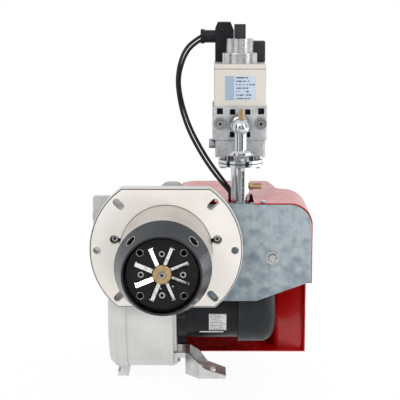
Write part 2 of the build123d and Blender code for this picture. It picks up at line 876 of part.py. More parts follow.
with BuildPart() as cooling_fan:
    with BuildSketch(plane_fan(112)):
        Circle(cooling_fan_radius - 4)
        Circle(shaft_radius, mode=Mode.SUBTRACT)
    extrude(amount=2)
    with BuildSketch(plane_fan(112)):
        Circle(shaft_radius + 5)
        Circle(shaft_radius, mode=Mode.SUBTRACT)
    extrude(amount=16)
    with BuildSketch(plane_fan(113)):
        with PolarLocations(cooling_fan_radius / 2 + 5, 8):
            Rectangle(cooling_fan_radius - 10, 2)
    extrude(amount=14)
cooling_fan.part.label = "cooling_fan"
export_step(cooling_fan.part, "parts/cooling_fan.step")

# ---- Motor ----

lug_pitch = shell_radius + 6.0
bearing_left = bell_left + 3.0
end_bearing_left = 88.0
end_shield_left = 98.0

with BuildPart() as motor_bell:
    with BuildSketch(plane_fan(bell_left)):
        Circle(bell_radius)
        with PolarLocations(lug_pitch, 4, start_angle=0):
            Circle(8.0)
        with PolarLocations(lug_pitch - 4, 4, start_angle=0):
            Rectangle(8, 16)
        Circle(shaft_radius + 2, mode=Mode.SUBTRACT)
    extrude(amount=bell_right - bell_left)
    with BuildSketch(plane_fan(bearing_left)):
        Circle(bearing_radius)
    extrude(amount=bell_right - bearing_left, mode=Mode.SUBTRACT)
    with BuildSketch(plane_fan(bell_left + 7)):
        Circle(stator_outer - 2)
        Circle(bearing_radius + 4, mode=Mode.SUBTRACT)
    extrude(amount=bell_right - bell_left - 7, mode=Mode.SUBTRACT)
    with BuildSketch(plane_fan(bell_left)):
        with PolarLocations(lug_pitch, 4, start_angle=0):
            Circle(3.2)
    extrude(amount=bell_right - bell_left, mode=Mode.SUBTRACT)
motor_bell.part.label = "motor_bell"
export_step(motor_bell.part, "parts/motor_bell.step")

with BuildPart() as motor_shell:
    with BuildSketch(plane_fan(bell_right)):
        Circle(shell_radius)
        Circle(stator_outer, mode=Mode.SUBTRACT)
    extrude(amount=shell_right - bell_right)
    with BuildSketch(plane_fan(end_shield_left)):
        Circle(stator_outer)
        Circle(shaft_radius + 2, mode=Mode.SUBTRACT)
    extrude(amount=shell_right - end_shield_left)
    with BuildSketch(plane_fan(end_bearing_left)):
        Circle(bearing_radius + 4)
        Circle(bearing_radius, mode=Mode.SUBTRACT)
    extrude(amount=end_shield_left - end_bearing_left)
motor_shell.part.label = "motor_shell"
export_step(motor_shell.part, "parts/motor_shell.step")

with BuildPart() as bearings:
    for start in (bearing_left, end_bearing_left):
        with BuildSketch(plane_fan(start)):
            Circle(bearing_radius)
            Circle(shaft_radius + running_gap, mode=Mode.SUBTRACT)
        extrude(amount=bearing_width)
bearings.part.label = "bearings"
export_step(bearings.part, "parts/bearings.step")

with BuildPart() as stator:
    with BuildSketch(plane_fan(36)):
        Circle(stator_outer)
        Circle(stator_inner, mode=Mode.SUBTRACT)
    extrude(amount=50)
stator.part.label = "stator"
export_step(stator.part, "parts/stator.step")

with BuildPart() as motor_cowl:
    with BuildSketch(plane_fan(cowl_left)):
        Circle(cowl_radius)
    extrude(amount=cowl_right - cowl_left)
    fillet(motor_cowl.faces().sort_by(Axis.X)[-1].edges(), radius=cowl_round)
    with BuildSketch(plane_fan(cowl_left)):
        Circle(cowl_radius - cowl_wall)
    extrude(amount=cowl_right - cowl_left - cowl_round, mode=Mode.SUBTRACT)
    with BuildSketch(plane_fan(cowl_right - cowl_round)):
        Circle(cowl_radius - cowl_wall)
    extrude(amount=cowl_round - cowl_wall, taper=38, mode=Mode.SUBTRACT)
    with BuildSketch(plane_fan(cowl_left)):
        with PolarLocations((shell_radius + cowl_radius - cowl_wall) / 2, 4, start_angle=45):
            Rectangle(cowl_radius - cowl_wall - shell_radius + 0.4, 8)
        Circle(shell_radius, mode=Mode.SUBTRACT)
    extrude(amount=5)
    with BuildSketch(plane_fan(cowl_right - 6)):
        for turn in range(0, 360, 30):
            with PolarLocations(27, 1, start_angle=turn):
                SlotOverall(20, 4)
    extrude(amount=10, mode=Mode.SUBTRACT)
motor_cowl.part.label = "motor_cowl"
export_step(motor_cowl.part, "parts/motor_cowl.step")

# ---- Front plate and the tray behind it ----

plate_screw_x = 151.0
plate_screw_z = -21.0
collar_screw_angles = (-52, 12, 36)
collar_screw_pitch = duct_radius + 5.5

with BuildPart() as front_plate:
    with BuildSketch(plane_y(plate_front + plate_thickness)):
        with BuildLine():
            Polyline(
                (plate_right, plate_top - plate_round), (plate_right, plate_slope_z),
                (plate_slope_x, plate_bottom), (plate_left, plate_bottom), (plate_left, plate_top),
                (plate_right - plate_round, plate_top),
            )
            RadiusArc(
                (plate_right - plate_round, plate_top), (plate_right, plate_top - plate_round), plate_round
            )
        make_face()
        Circle(duct_radius, mode=Mode.SUBTRACT)
        with Locations((plate_screw_x, plate_screw_z)):
            Circle(2.6, mode=Mode.SUBTRACT)
    extrude(amount=plate_thickness)
    box_between(
        (lip_left, plate_front, plate_top - plate_thickness), (lip_right, plate_front + lip_depth, plate_top)
    )
    box_between(
        (pipe_x - pipe_radius - 1, pipe_y - pipe_radius - 1, plate_top - plate_thickness - 1),
        (pipe_x + pipe_radius + 1, plate_front + lip_depth + 1, plate_top + 1),
        mode=Mode.SUBTRACT,
    )
front_plate.part.label = "front_plate"
export_step(front_plate.part, "parts/front_plate.step")

sheet = 1.5

with BuildPart() as tray:
    with BuildSketch(Plane.XY.offset(tray_z)):
        with BuildLine():
            Polyline(
                (tray_left, collar_back + 0.5), (tray_right, collar_back + 0.5), (tray_right, tray_wing_back),
                (tray_step_x, tray_step_y), (tray_rear_right, tray_back), (tray_left, tray_back), close=True,
            )
        make_face()
    extrude(amount=-sheet)
    box_between(
        (tray_left + 36, collar_front, tray_z - sheet), (tray_right - 18, collar_back + 0.5, tray_z)
    )
    box_between(
        (tray_left + 36, collar_front, tray_z), (tray_right - 18, collar_front + sheet, tray_z + 34)
    )
    with BuildSketch(plane_y(collar_back)):
        with Locations((plate_screw_x, plate_screw_z)):
            Circle(2.6)
    extrude(amount=6, mode=Mode.SUBTRACT)
tray.part.label = "tray"
export_step(tray.part, "parts/tray.step")

# ---- Screws of the body ----

ring_screw_pitch = 94.0
ring_screw_angles = (200, 232, 264, 296, 328, 354)
cover_screw_x = 137.0
cover_screw_y = 53.5
slot_half = 2.4

with BuildPart() as body_screws:
    # plate screw with its washer
    with BuildSketch(plane_y(plate_front)):
        with Locations((plate_screw_x, plate_screw_z)):
            Circle(10.0)
    extrude(amount=1.6)
    with BuildSketch(plane_y(plate_front - 1.6)):
        with Locations((plate_screw_x, plate_screw_z)):
            Circle(5.2)
    extrude(amount=3.4)
    with BuildSketch(plane_y(plate_front + 4.5)):
        with Locations((plate_screw_x, plate_screw_z)):
            Circle(2.6)
    extrude(amount=4.5)
    # collar screws
    with BuildSketch(plane_y(plate_front)):
        for turn in collar_screw_angles:
            with PolarLocations(collar_screw_pitch, 1, start_angle=turn):
                Circle(4.0)
    extrude(amount=3.0)
    # foot bracket screws
    with BuildSketch(plane_x(volute_right + 5.0)):
        with Locations((112, arm_top - 13.0), (140, arm_top - 13.0)):
            RegularPolygon(4.0, 6)
    extrude(amount=4.0)
    # cover screw
    with BuildSketch(Plane.XY.offset(plate_top)):
        with Locations((cover_screw_x, cover_screw_y)):
            Circle(slot_half - 0.3)
    extrude(amount=cover_top + face_gap - plate_top)
    with BuildSketch(Plane.XY.offset(cover_top + face_gap)):
        with Locations((cover_screw_x, cover_screw_y)):
            Circle(4.0)
    extrude(amount=2.5)
body_screws.part.label = "body_screws"
export_step(body_screws.part, "parts/body_screws.step")

# ---- Gas pipe, flanges and union ----

flange_low = pipe_top
gasket_low = flange_low + flange_disc_thickness
flange_high = gasket_low + gasket_thickness
nut_low = flange_high + flange_disc_thickness
skirt_low = nut_low + nut_height
riser_low = skirt_low + skirt_height

with BuildPart() as gas_pipe:
    with BuildLine():
        start = (pipe_x, pipe_y, gasket_low)
        corner = (pipe_x, pipe_y, pipe_bend_radius)
        Line(start, corner)
        TangentArc(corner, (pipe_end_x, pipe_y, 0), tangent=(0, 0, -1))
    with BuildSketch(Plane.XY.offset(gasket_low)):
        with Locations((pipe_x, pipe_y)):
            Circle(pipe_radius)
            Circle(pipe_bore, mode=Mode.SUBTRACT)
    sweep()
gas_pipe.part.label = "gas_pipe"
export_step(gas_pipe.part, "parts/gas_pipe.step")

with BuildPart() as pipe_flanges:
    with BuildSketch(Plane.XY.offset(flange_low)):
        with Locations((pipe_x, pipe_y)):
            Circle(flange_disc_radius)
            Circle(pipe_radius, mode=Mode.SUBTRACT)
    extrude(amount=flange_disc_thickness)
    with BuildSketch(Plane.XY.offset(flange_high)):
        with Locations((pipe_x, pipe_y)):
            Circle(flange_disc_radius)
            Circle(riser_radius, mode=Mode.SUBTRACT)
    extrude(amount=flange_disc_thickness)
    for low in (flange_low, flange_high):
        with BuildSketch(Plane.XY.offset(low)):
            with Locations((pipe_x, pipe_y)):
                with PolarLocations(flange_screw_pitch, 4):
                    Circle(2.6)
        extrude(amount=flange_disc_thickness, mode=Mode.SUBTRACT)
pipe_flanges.part.label = "pipe_flanges"
export_step(pipe_flanges.part, "parts/pipe_flanges.step")

with BuildPart() as flange_gasket:
    with BuildSketch(Plane.XY.offset(gasket_low)):
        with Locations((pipe_x, pipe_y)):
            Circle(flange_disc_radius - 1.0)
            Circle(riser_radius, mode=Mode.SUBTRACT)
            with PolarLocations(flange_screw_pitch, 4):
                Circle(2.6, mode=Mode.SUBTRACT)
    extrude(amount=gasket_thickness)
flange_gasket.part.label = "flange_gasket"
export_step(flange_gasket.part, "parts/flange_gasket.step")

with BuildPart() as flange_screws:
    with BuildSketch(Plane.XY.offset(flange_low - 4.5)):
        with Locations((pipe_x, pipe_y)):
            with PolarLocations(flange_screw_pitch, 4):
                RegularPolygon(5.2, 6)
    extrude(amount=4.5)
    with BuildSketch(Plane.XY.offset(flange_low)):
        with Locations((pipe_x, pipe_y)):
            with PolarLocations(flange_screw_pitch, 4):
                Circle(2.6)
    extrude(amount=nut_low - flange_low)
    with BuildSketch(Plane.XY.offset(nut_low)):
        with Locations((pipe_x, pipe_y)):
            with PolarLocations(flange_screw_pitch, 4):
                RegularPolygon(5.2, 6)
    extrude(amount=4.0)
flange_screws.part.label = "flange_screws"
export_step(flange_screws.part, "parts/flange_screws.step")

with BuildPart() as union_nut:
    with BuildSketch(Plane.XY.offset(nut_low)):
        with Locations((pipe_x, pipe_y)):
            RegularPolygon(nut_across / 2, 6)
            Circle(riser_radius, mode=Mode.SUBTRACT)
    extrude(amount=nut_height)
    with BuildSketch(Plane.XY.offset(skirt_low)):
        with Locations((pipe_x, pipe_y)):
            Circle(skirt_radius)
            Circle(riser_radius, mode=Mode.SUBTRACT)
    extrude(amount=skirt_height)
    chamfer(union_nut.faces().sort_by(Axis.Z)[-1].edges().sort_by(SortBy.RADIUS)[-1], length=3.0)
union_nut.part.label = "union_nut"
export_step(union_nut.part, "parts/union_nut.step")

with BuildPart() as valve_elbow:
    with BuildSketch(Plane.XY.offset(gasket_low)):
        with Locations((pipe_x, pipe_y)):
            Circle(riser_radius)
    extrude(amount=elbow_z - gasket_low)
    with Locations((pipe_x, pipe_y, elbow_z)):
        Sphere(elbow_radius)
    with BuildSketch(plane_y(valve_front)):
        with Locations((pipe_x, elbow_z)):
            Circle(elbow_radius - 1.5)
    extrude(amount=valve_front - pipe_y)
    with BuildSketch(plane_y(elbow_nut_back)):
        with Locations((pipe_x, elbow_z)):
            RegularPolygon(elbow_nut_radius, 6)
    extrude(amount=elbow_nut_back - elbow_nut_front)
    with BuildSketch(plane_y(valve_front)):
        with Locations((pipe_x, elbow_z)):
            Circle(6.0)
    extrude(amount=valve_front - pipe_y, mode=Mode.SUBTRACT)
    with BuildSketch(Plane.XY.offset(gasket_low)):
        with Locations((pipe_x, pipe_y)):
            Circle(5.5)
    extrude(amount=elbow_z - gasket_low, mode=Mode.SUBTRACT)
valve_elbow.part.label = "valve_elbow"
export_step(valve_elbow.part, "parts/valve_elbow.step")

nipple_z = 79.0
nipple_reach = pipe_x + 30.2

with BuildPart() as test_nipples:
    with BuildSketch(plane_x(pipe_x + pipe_radius - 0.4)):
        with Locations((pipe_y, nipple_z)):
            RegularPolygon(5.5, 6)
    extrude(amount=5.5)
    with BuildSketch(plane_x(pipe_x + pipe_radius + 5.1)):
        with Locations((pipe_y, nipple_z)):
            Circle(4.0)
    extrude(amount=nipple_reach - pipe_x - pipe_radius - 5.1)
    with BuildSketch(plane_x(pipe_x)):
        with Locations((pipe_y, nipple_z)):
            Circle(3.0)
    extrude(amount=pipe_radius + 1)
    with BuildSketch(Plane.XY):
        with Locations((pipe_x, pipe_y)):
            Circle(pipe_radius)
    extrude(amount=nipple_z + 20, mode=Mode.SUBTRACT)
    with BuildSketch(Plane.XY.offset(elbow_z + elbow_radius - 0.6)):
        with Locations((pipe_x + 1, pipe_y)):
            Circle(4.0)
    extrude(amount=4.0)
    with BuildSketch(Plane.XY.offset(elbow_z + elbow_radius + 3.4)):
        with Locations((pipe_x + 1, pipe_y)):
            RegularPolygon(4.6, 6)
    extrude(amount=6.0)
    with BuildSketch(Plane.XY.offset(elbow_z + elbow_radius + 9.4)):
        with Locations((pipe_x + 1, pipe_y)):
            Circle(3.2)
    extrude(amount=5.0)
    with Locations((pipe_x, pipe_y, elbow_z)):
        Sphere(elbow_radius, mode=Mode.SUBTRACT)
test_nipples.part.label = "test_nipples"
export_step(test_nipples.part, "parts/test_nipples.step")

# ---- Gas valve ----

screw_z = 165.0
screw_places = ((pipe_x - 28.7, screw_z), (pipe_x + 30.4, screw_z))
recess_depth = 12.0
outer_recesses = ((pipe_x - 29.3, 183.0), (pipe_x + 30.7, 183.0))
inner_recesses = (
    (pipe_x - 10.8, 182.0), (pipe_x + 11.2, 182.0), (pipe_x - 10.8, 149.0), (pipe_x + 11.2, 149.0),
)

with BuildPart() as valve_body:
    box_between((valve_left, valve_front, valve_seam), (valve_right, valve_back, valve_top))
    chamfer(valve_body.edges().filter_by(Axis.Z), length=2.0)
    with BuildSketch(plane_y(valve_front)):
        with Locations(*outer_recesses):
            Rectangle(9, 9)
        with Locations(*inner_recesses):
            Rectangle(8, 8)
    extrude(amount=-recess_depth, mode=Mode.SUBTRACT)
    with BuildSketch(plane_y(valve_front)):
        with Locations((pipe_x, elbow_z)):
            Circle(6.0)
    extrude(amount=-30, mode=Mode.SUBTRACT)
    with BuildSketch(plane_y(valve_back)):
        with Locations((pipe_x, elbow_z)):
            Circle(inlet_radius)
    extrude(amount=inlet_depth, mode=Mode.SUBTRACT)
valve_body.part.label = "valve_body"
export_step(valve_body.part, "parts/valve_body.step")

base_left = valve_left + 4.2
base_right = valve_right - 2.0

with BuildPart() as valve_base:
    box_between((base_left, valve_front + 2, valve_bottom), (base_right, valve_back - 4, valve_seam))
    chamfer(valve_base.edges().filter_by(Axis.Z), length=3.0)
    with BuildSketch(plane_x(base_left - 9.5)):
        with Locations((valve_front + 16, 134)):
            Circle(6.9)
    extrude(amount=12)
    chamfer(valve_base.faces().sort_by(Axis.X)[0].edges(), length=1.0)
valve_base.part.label = "valve_base"
export_step(valve_base.part, "parts/valve_base.step")

with BuildPart() as valve_screws:
    with BuildSketch(plane_y(valve_front)):
        with Locations(*screw_places):
            Circle(8.6)
    extrude(amount=1.8)
    with BuildSketch(plane_y(valve_front - 1.8)):
        with Locations(*screw_places):
            Circle(5.0)
    extrude(amount=4.5)
    with BuildSketch(plane_y(valve_front - 6.3)):
        with Locations(*screw_places):
            RegularPolygon(2.8, 6)
    extrude(amount=-3.0, mode=Mode.SUBTRACT)
valve_screws.part.label = "valve_screws"
export_step(valve_screws.part, "parts/valve_screws.step")

with BuildPart() as coil_housing:
    box_between((coil_left, coil_front, valve_top), (coil_right, valve_back, coil_top))
    fillet(coil_housing.edges().filter_by(Axis.Z), radius=3.0)
    chamfer(coil_housing.faces().sort_by(Axis.Z)[-1].edges(), length=1.0)
coil_housing.part.label = "coil_housing"
export_step(coil_housing.part, "parts/coil_housing.step")

stem_radius_valve = 5.0

with BuildPart() as ring_cap:
    with BuildSketch(Plane.XY.offset(coil_top)):
        with Locations((pipe_x, stem_y)):
            Circle(ring_cap_radius)
    extrude(amount=ring_cap_top - coil_top)
    fillet(ring_cap.faces().sort_by(Axis.Z)[-1].edges(), radius=1.0)
    with BuildSketch(Plane.XY.offset(ring_cap_top)):
        with Locations((pipe_x, stem_y)):
            Circle(stem_radius_valve)
    extrude(amount=16)
ring_cap.part.label = "ring_cap"
export_step(ring_cap.part, "parts/ring_cap.step")

flute_count = 14
flute_radius = 2.2

with BuildPart() as flow_adjuster:
    with BuildSketch(Plane.XY.offset(ring_cap_top + face_gap)):
        with Locations((pipe_x, stem_y)):
            Circle(adjuster_radius)
            with PolarLocations(adjuster_radius + 0.9, flute_count):
                Circle(flute_radius, mode=Mode.SUBTRACT)
    extrude(amount=adjuster_top - ring_cap_top - face_gap)
    with BuildSketch(Plane.XY.offset(ring_cap_top)):
        with Locations((pipe_x, stem_y)):
            Circle(stem_radius_valve + running_gap)
    extrude(amount=16 + face_gap, mode=Mode.SUBTRACT)
flow_adjuster.part.label = "flow_adjuster"
export_step(flow_adjuster.part, "parts/flow_adjuster.step")

with BuildPart() as adjuster_knob:
    with BuildSketch(Plane.XY.offset(adjuster_top + face_gap)):
        with Locations((pipe_x, stem_y)):
            Circle(adjuster_knob_radius)
            with PolarLocations(adjuster_knob_radius + 0.5, 18):
                Circle(0.9, mode=Mode.SUBTRACT)
    extrude(amount=adjuster_knob_top - adjuster_top - face_gap)
adjuster_knob.part.label = "adjuster_knob"
export_step(adjuster_knob.part, "parts/adjuster_knob.step")

switch_left = pipe_x + 20.5
switch_right = pipe_x + 38.5
switch_top = coil_top + 31.0

with BuildPart() as pressure_switch:
    box_between((switch_left, 165.0, coil_top), (switch_right, 189.0, switch_top))
    fillet(pressure_switch.edges().filter_by(Axis.Z), radius=2.0)
    chamfer(pressure_switch.faces().sort_by(Axis.Z)[-1].edges(), length=1.0)
pressure_switch.part.label = "pressure_switch"
export_step(pressure_switch.part, "parts/pressure_switch.step")

with BuildPart() as din_plug:
    with BuildSketch(plane_y(plug_back)):
        with BuildLine():
            Polyline(
                (plug_left, coil_top), (plug_right, coil_top), (plug_right, plug_top - 12),
                (plug_right - 5, plug_top), (plug_left + 4, plug_top), (plug_left, plug_top - 9), close=True,
            )
        make_face()
    extrude(amount=plug_back - plug_front)
    fillet(din_plug.edges().filter_by(Axis.Z), radius=1.5)
din_plug.part.label = "din_plug"
export_step(din_plug.part, "parts/din_plug.step")

gland_ring = 6.0

with BuildPart() as cable_gland:
    with BuildSketch(plane_x(plug_left)):
        with Locations((gland_y, gland_z)):
            Circle(9.5)
    extrude(amount=-(plug_left - gland_left - gland_ring))
    with BuildSketch(plane_x(gland_left + gland_ring)):
        with Locations((gland_y, gland_z)):
            Circle(10.8)
    extrude(amount=-gland_ring)
cable_gland.part.label = "cable_gland"
export_step(cable_gland.part, "parts/cable_gland.step")

rating_left = 60.0
rating_width = 25.5
rating_top = -4.0
rating_bottom = -31.0
coil_label = ((pipe_x - 21.8, 199.0), (pipe_x + 22.2, 234.0))

with BuildPart() as nameplates:
    box_between(
        (coil_label[0][0], coil_front - 0.5, coil_label[0][1]), (coil_label[1][0], coil_front, coil_label[1][1])
    )
    with BuildSketch(plane_fan(rating_left)):
        Circle(shell_radius + 0.6)
        Circle(shell_radius + running_gap, mode=Mode.SUBTRACT)
        with Locations((-shell_radius, (rating_top + rating_bottom) / 2)):
            Rectangle(60, rating_top - rating_bottom, mode=Mode.INTERSECT)
    extrude(amount=rating_width)
nameplates.part.label = "nameplates"
export_step(nameplates.part, "parts/nameplates.step")

# ---- Control parts on the tray ----

with BuildPart() as control_box:
    box_between((control_left, control_front, tray_z), (control_right, control_back, control_top))
    fillet(control_box.edges().filter_by(Axis.Z), radius=3.0)
    with BuildSketch(plane_y(control_back)):
        with Locations((button_x, button_z)):
            Circle(button_radius + face_gap)
    extrude(amount=button_depth, mode=Mode.SUBTRACT)
control_box.part.label = "control_box"
export_step(control_box.part, "parts/control_box.step")

with BuildPart() as reset_button:
    with BuildSketch(plane_y(cover_back + button_proud)):
        with Locations((button_x, button_z)):
            Circle(button_radius)
    extrude(amount=cover_back + button_proud - control_back + button_depth - 4.0)
    fillet(reset_button.faces().sort_by(Axis.Y)[-1].edges(), radius=1.5)
reset_button.part.label = "reset_button"
export_step(reset_button.part, "parts/reset_button.step")

with BuildPart() as ignition_transformer:
    box_between(
        (transformer_left, transformer_front, tray_z), (transformer_right, transformer_back, transformer_top)
    )
    fillet(ignition_transformer.edges().filter_by(Axis.Z), radius=4.0)
ignition_transformer.part.label = "ignition_transformer"
export_step(ignition_transformer.part, "parts/ignition_transformer.step")

with BuildPart() as air_switch:
    with BuildSketch(Plane.XY.offset(tray_z)):
        with Locations((air_switch_x, air_switch_y)):
            Circle(air_switch_radius)
    extrude(amount=air_switch_low)
    with BuildSketch(Plane.XY.offset(tray_z + air_switch_low)):
        with Locations((air_switch_x, air_switch_y)):
            Rectangle(air_switch_width, air_switch_width)
    extrude(amount=air_switch_height - air_switch_low)
air_switch.part.label = "air_switch"
export_step(air_switch.part, "parts/air_switch.step")

with BuildPart() as terminal_block:
    box_between(
        (tray_left, terminal_front, tray_z),
        (tray_left + terminal_width, terminal_front + terminal_depth, terminal_top),
    )
    fillet(terminal_block.edges().filter_by(Axis.Z), radius=2.0)
terminal_block.part.label = "terminal_block"
export_step(terminal_block.part, "parts/terminal_block.step")

# ---- Two leads from the gland to the terminal block ----

# Middle line of the pair, and how far the pair has turned about it, in degrees.
lead_route = (
    (51.0, 176.5, 288.0, 0),
    (36.1, 175.0, 279.2, 0),
    (25.1, 173.0, 267.2, 10),
    (17.1, 169.0, 248.2, 30),
    (13.2, 163.0, 226.3, 55),
    (15.2, 157.0, 204.3, 50),
    (21.2, 149.5, 178.4, 30),
    (31.6, 141.0, 151.0, 15),
    (45.4, 132.5, 126.0, 10),
    (60.6, 123.5, 102.6, 10),
    (77.7, 113.0, 81.6, 20),
    (93.2, 106.0, 63.7, 60),
    (97.3, 104.0, 46.6, 120),
    (97.8, 104.0, terminal_top - 3.5, 180),
)


def lead_points(side):
    """Route of one lead: the middle line moved to one side of the pair, which turns along it."""
    points = []
    middle = [Vector(*row[:3]) for row in lead_route]
    for index, row in enumerate(lead_route):
        before = middle[max(index - 1, 0)]
        after = middle[min(index + 1, len(middle) - 1)]
        along = (after - before).normalized()
        across = along.cross(Vector(0, 1, 0)).normalized()
        over = across.cross(along).normalized()
        turn = radians(row[3])
        points.append(middle[index] + (across * cos(turn) + over * sin(turn)) * (lead_offset * side))
    return points


def lead_radii(points):
    """Radius of each arc: 0.45 of the shorter run beside it, over the tangent of half its turn."""
    radii = []
    for before, here, after in zip(points, points[1:], points[2:]):
        first = here - before
        second = after - here
        half_turn = radians(first.get_angle(second)) / 2
        radii.append(0.45 * min(first.length, second.length) / tan(half_turn))
    return radii


for lead_name, side in (("lead_a", 1), ("lead_b", -1)):
    route = lead_points(side)
    radii = lead_radii(route)
    print(lead_name, "radii", [round(radius, 1) for radius in radii])
    with BuildPart() as lead:
        with BuildLine() as lead_line:
            FilletPolyline(*route, radius=radii)
        with BuildSketch(Plane(origin=route[0], z_dir=(route[1] - route[0]).normalized())):
            Circle(lead_radius)
        sweep()
        box_between(
            (gland_left, gland_y - trim_depth, gland_z - trim_depth),
            (gland_left + trim_depth, gland_y + trim_depth, gland_z + trim_depth),
            mode=Mode.SUBTRACT,
        )
        box_between(
            (tray_left, terminal_front, terminal_top - trim_depth),
            (tray_left + terminal_width, terminal_front + terminal_depth, terminal_top),
            mode=Mode.SUBTRACT,
        )
    print(lead_name, "length", round(lead_line.wire().length, 1), "volume", round(lead.part.volume, 1))
    lead.part.label = lead_name
    export_step(lead.part, "parts/" + lead_name + ".step")

# ---- Cover, which pulls off backwards ----

beyond = 5.0


def cover_block(open_by, inset):
    """The cover's outside, or the space inside it, which runs past its open sides."""
    outline = (
        (cover_left - open_by, cover_front - open_by), (cover_right, cover_front - open_by),
        (cover_right, wing_back), (step_x, step_y), (rear_corner_x, cover_back),
        (cover_rear_left + cover_rear_cut, cover_back), (cover_rear_left, cover_back - cover_rear_cut),
        (cover_rear_left, left_wall_front + inset), (cover_rear_left - open_by, left_wall_front + inset),
        (cover_rear_left - open_by, shelf_front_y - open_by), (cover_left - open_by, shelf_front_y - open_by),
    )
    with BuildPart() as block:
        with BuildSketch(Plane.XY.offset(cover_bottom + inset)) as plan:
            with BuildLine():
                Polyline(*(outline if open_by else outline[:7] + outline[9:]), close=True)
            make_face()
            corners = plan.vertices().filter_by(lambda v: v.Y > wing_back - 1)
            fillet(corners.filter_by(lambda v: v.X > step_x - 20 or v.Y > left_wall_front + 10), corner_round)
            if inset:
                offset(amount=-inset, kind=Kind.INTERSECTION, mode=Mode.REPLACE)
        extrude(amount=cover_top - cover_bottom - 2 * inset)
        with BuildSketch(plane_y(cover_back)):
            with Locations((cover_right - inset, cover_top - inset)):
                Rectangle(2 * (cover_round - inset), 2 * (cover_round - inset))
            with Locations((cover_right - cover_round, cover_top - cover_round)):
                Circle(cover_round - inset, mode=Mode.SUBTRACT)
        extrude(amount=cover_back - cover_front + 2 * beyond, mode=Mode.SUBTRACT)
    return block.part


outside = cover_block(0.0, 0.0)
inside = cover_block(beyond + cover_wall, cover_wall)

with BuildPart() as cover:
    add(outside)
    add(inside, mode=Mode.SUBTRACT)
    with BuildSketch(plane_x(cover_rear_left - beyond)):
        with BuildLine():
            Polyline(
                (cover_front - beyond, cover_bottom - beyond), (cover_low_front, cover_bottom - beyond),
                (cover_low_front, plate_bottom), (cover_front + 3, plate_slope_z - 3),
                (cover_front - beyond, plate_slope_z - 3), close=True,
            )
        make_face()
    extrude(amount=cover_right - cover_rear_left + 2 * beyond, mode=Mode.SUBTRACT)
    # eave over the duct, then the notch for the pipe and the slot for the screw
    box_between((eave_left, eave_front, cover_top - cover_wall), (cover_left, shelf_front_y, cover_top))
    box_between(
        (notch_left, cover_front - beyond, cover_top - 6), (notch_right, notch_back, cover_top + 1),
        mode=Mode.SUBTRACT,
    )
    box_between(
        (cover_screw_x - slot_half, cover_front - beyond, cover_top - 6),
        (cover_screw_x + slot_half, cover_screw_y + slot_half, cover_top + 1),
        mode=Mode.SUBTRACT,
    )
    with BuildSketch(plane_y(cover_back + 1)):
        with Locations((button_x, button_z)):
            Circle(button_radius + 2)
    extrude(amount=cover_wall + 2, mode=Mode.SUBTRACT)
cover.part.label = "cover"
export_step(cover.part, "parts/cover.step")
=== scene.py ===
import math

import bmesh
import bpy
from mathutils import Matrix, Vector


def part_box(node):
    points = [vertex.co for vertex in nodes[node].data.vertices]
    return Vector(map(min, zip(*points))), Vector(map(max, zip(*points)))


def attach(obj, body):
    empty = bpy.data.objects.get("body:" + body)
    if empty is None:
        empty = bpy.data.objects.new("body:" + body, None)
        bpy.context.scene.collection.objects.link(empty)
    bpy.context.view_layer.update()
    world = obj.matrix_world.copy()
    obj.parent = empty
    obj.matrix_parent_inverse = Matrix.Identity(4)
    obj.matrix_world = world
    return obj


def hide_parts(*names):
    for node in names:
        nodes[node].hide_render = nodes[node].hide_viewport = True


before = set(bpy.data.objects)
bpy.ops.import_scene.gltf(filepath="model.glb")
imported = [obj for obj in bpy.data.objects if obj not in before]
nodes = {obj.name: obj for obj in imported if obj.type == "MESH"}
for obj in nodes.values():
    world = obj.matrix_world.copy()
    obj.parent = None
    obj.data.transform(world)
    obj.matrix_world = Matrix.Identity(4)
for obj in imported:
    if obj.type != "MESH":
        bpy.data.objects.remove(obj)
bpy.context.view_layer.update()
scene = bpy.context.scene
scene.view_settings.view_transform = "Standard"
print("frame loaded:", len(nodes), "nodes")

cameraSettings = {
    "place": (0.0597, -1.603, 0.357),
    "tilt": 10.1,  # degrees down
    "yaw": 0.44,
    "lens": 106.2,
    "sensor": 36.0,
}


def makeCamera(s):
    data = bpy.data.cameras.new("studioCamera")
    data.lens = s["lens"]
    data.sensor_width = s["sensor"]
    camera = bpy.data.objects.new("studioCamera", data)
    camera.location = s["place"]
    camera.rotation_euler = (math.radians(90 - s["tilt"]), 0, math.radians(s["yaw"]))
    scene.collection.objects.link(camera)
    scene.camera = camera


makeCamera(cameraSettings)


# the two leads, from the plug's gland down to the terminal block
leadSettings = {
    "diameter": 0.0046,
    "offset": 0.00275,  # from the pair's middle line
    "lengths": (0.3024, 0.3109),
    "stepsAlong": 12,
    "stepsRound": 6,
    "route": (  # X, Y, Z and how far the pair has turned, in degrees
        (0.0510, 0.1765, 0.2880, 0),
        (0.0361, 0.1750, 0.2792, 0),
        (0.0251, 0.1730, 0.2672, 10),
        (0.0171, 0.1690, 0.2482, 30),
        (0.0132, 0.1630, 0.2263, 55),
        (0.0152, 0.1570, 0.2043, 50),
        (0.0212, 0.1495, 0.1784, 30),
        (0.0316, 0.1410, 0.1510, 15),
        (0.0454, 0.1325, 0.1260, 10),
        (0.0606, 0.1235, 0.1026, 10),
        (0.0777, 0.1130, 0.0816, 20),
        (0.0932, 0.1060, 0.0637, 60),
        (0.0973, 0.1040, 0.0466, 120),
        (0.0978, 0.1040, 0.0285, 180),
    ),
}


def leadPoints(route, side, offset):
    # the pair's middle line, moved to one side of the pair, which turns along it
    middle = [Vector(row[:3]) for row in route]
    points = []
    for index, row in enumerate(route):
        before = middle[max(index - 1, 0)]
        after = middle[min(index + 1, len(middle) - 1)]
        along = (after - before).normalized()
        across = along.cross(Vector((0, 1, 0))).normalized()
        over = across.cross(along).normalized()
        turn = math.radians(row[3])
        shift = across * math.cos(turn) + over * math.sin(turn)
        points.append(middle[index] + shift * offset * side)
    return points


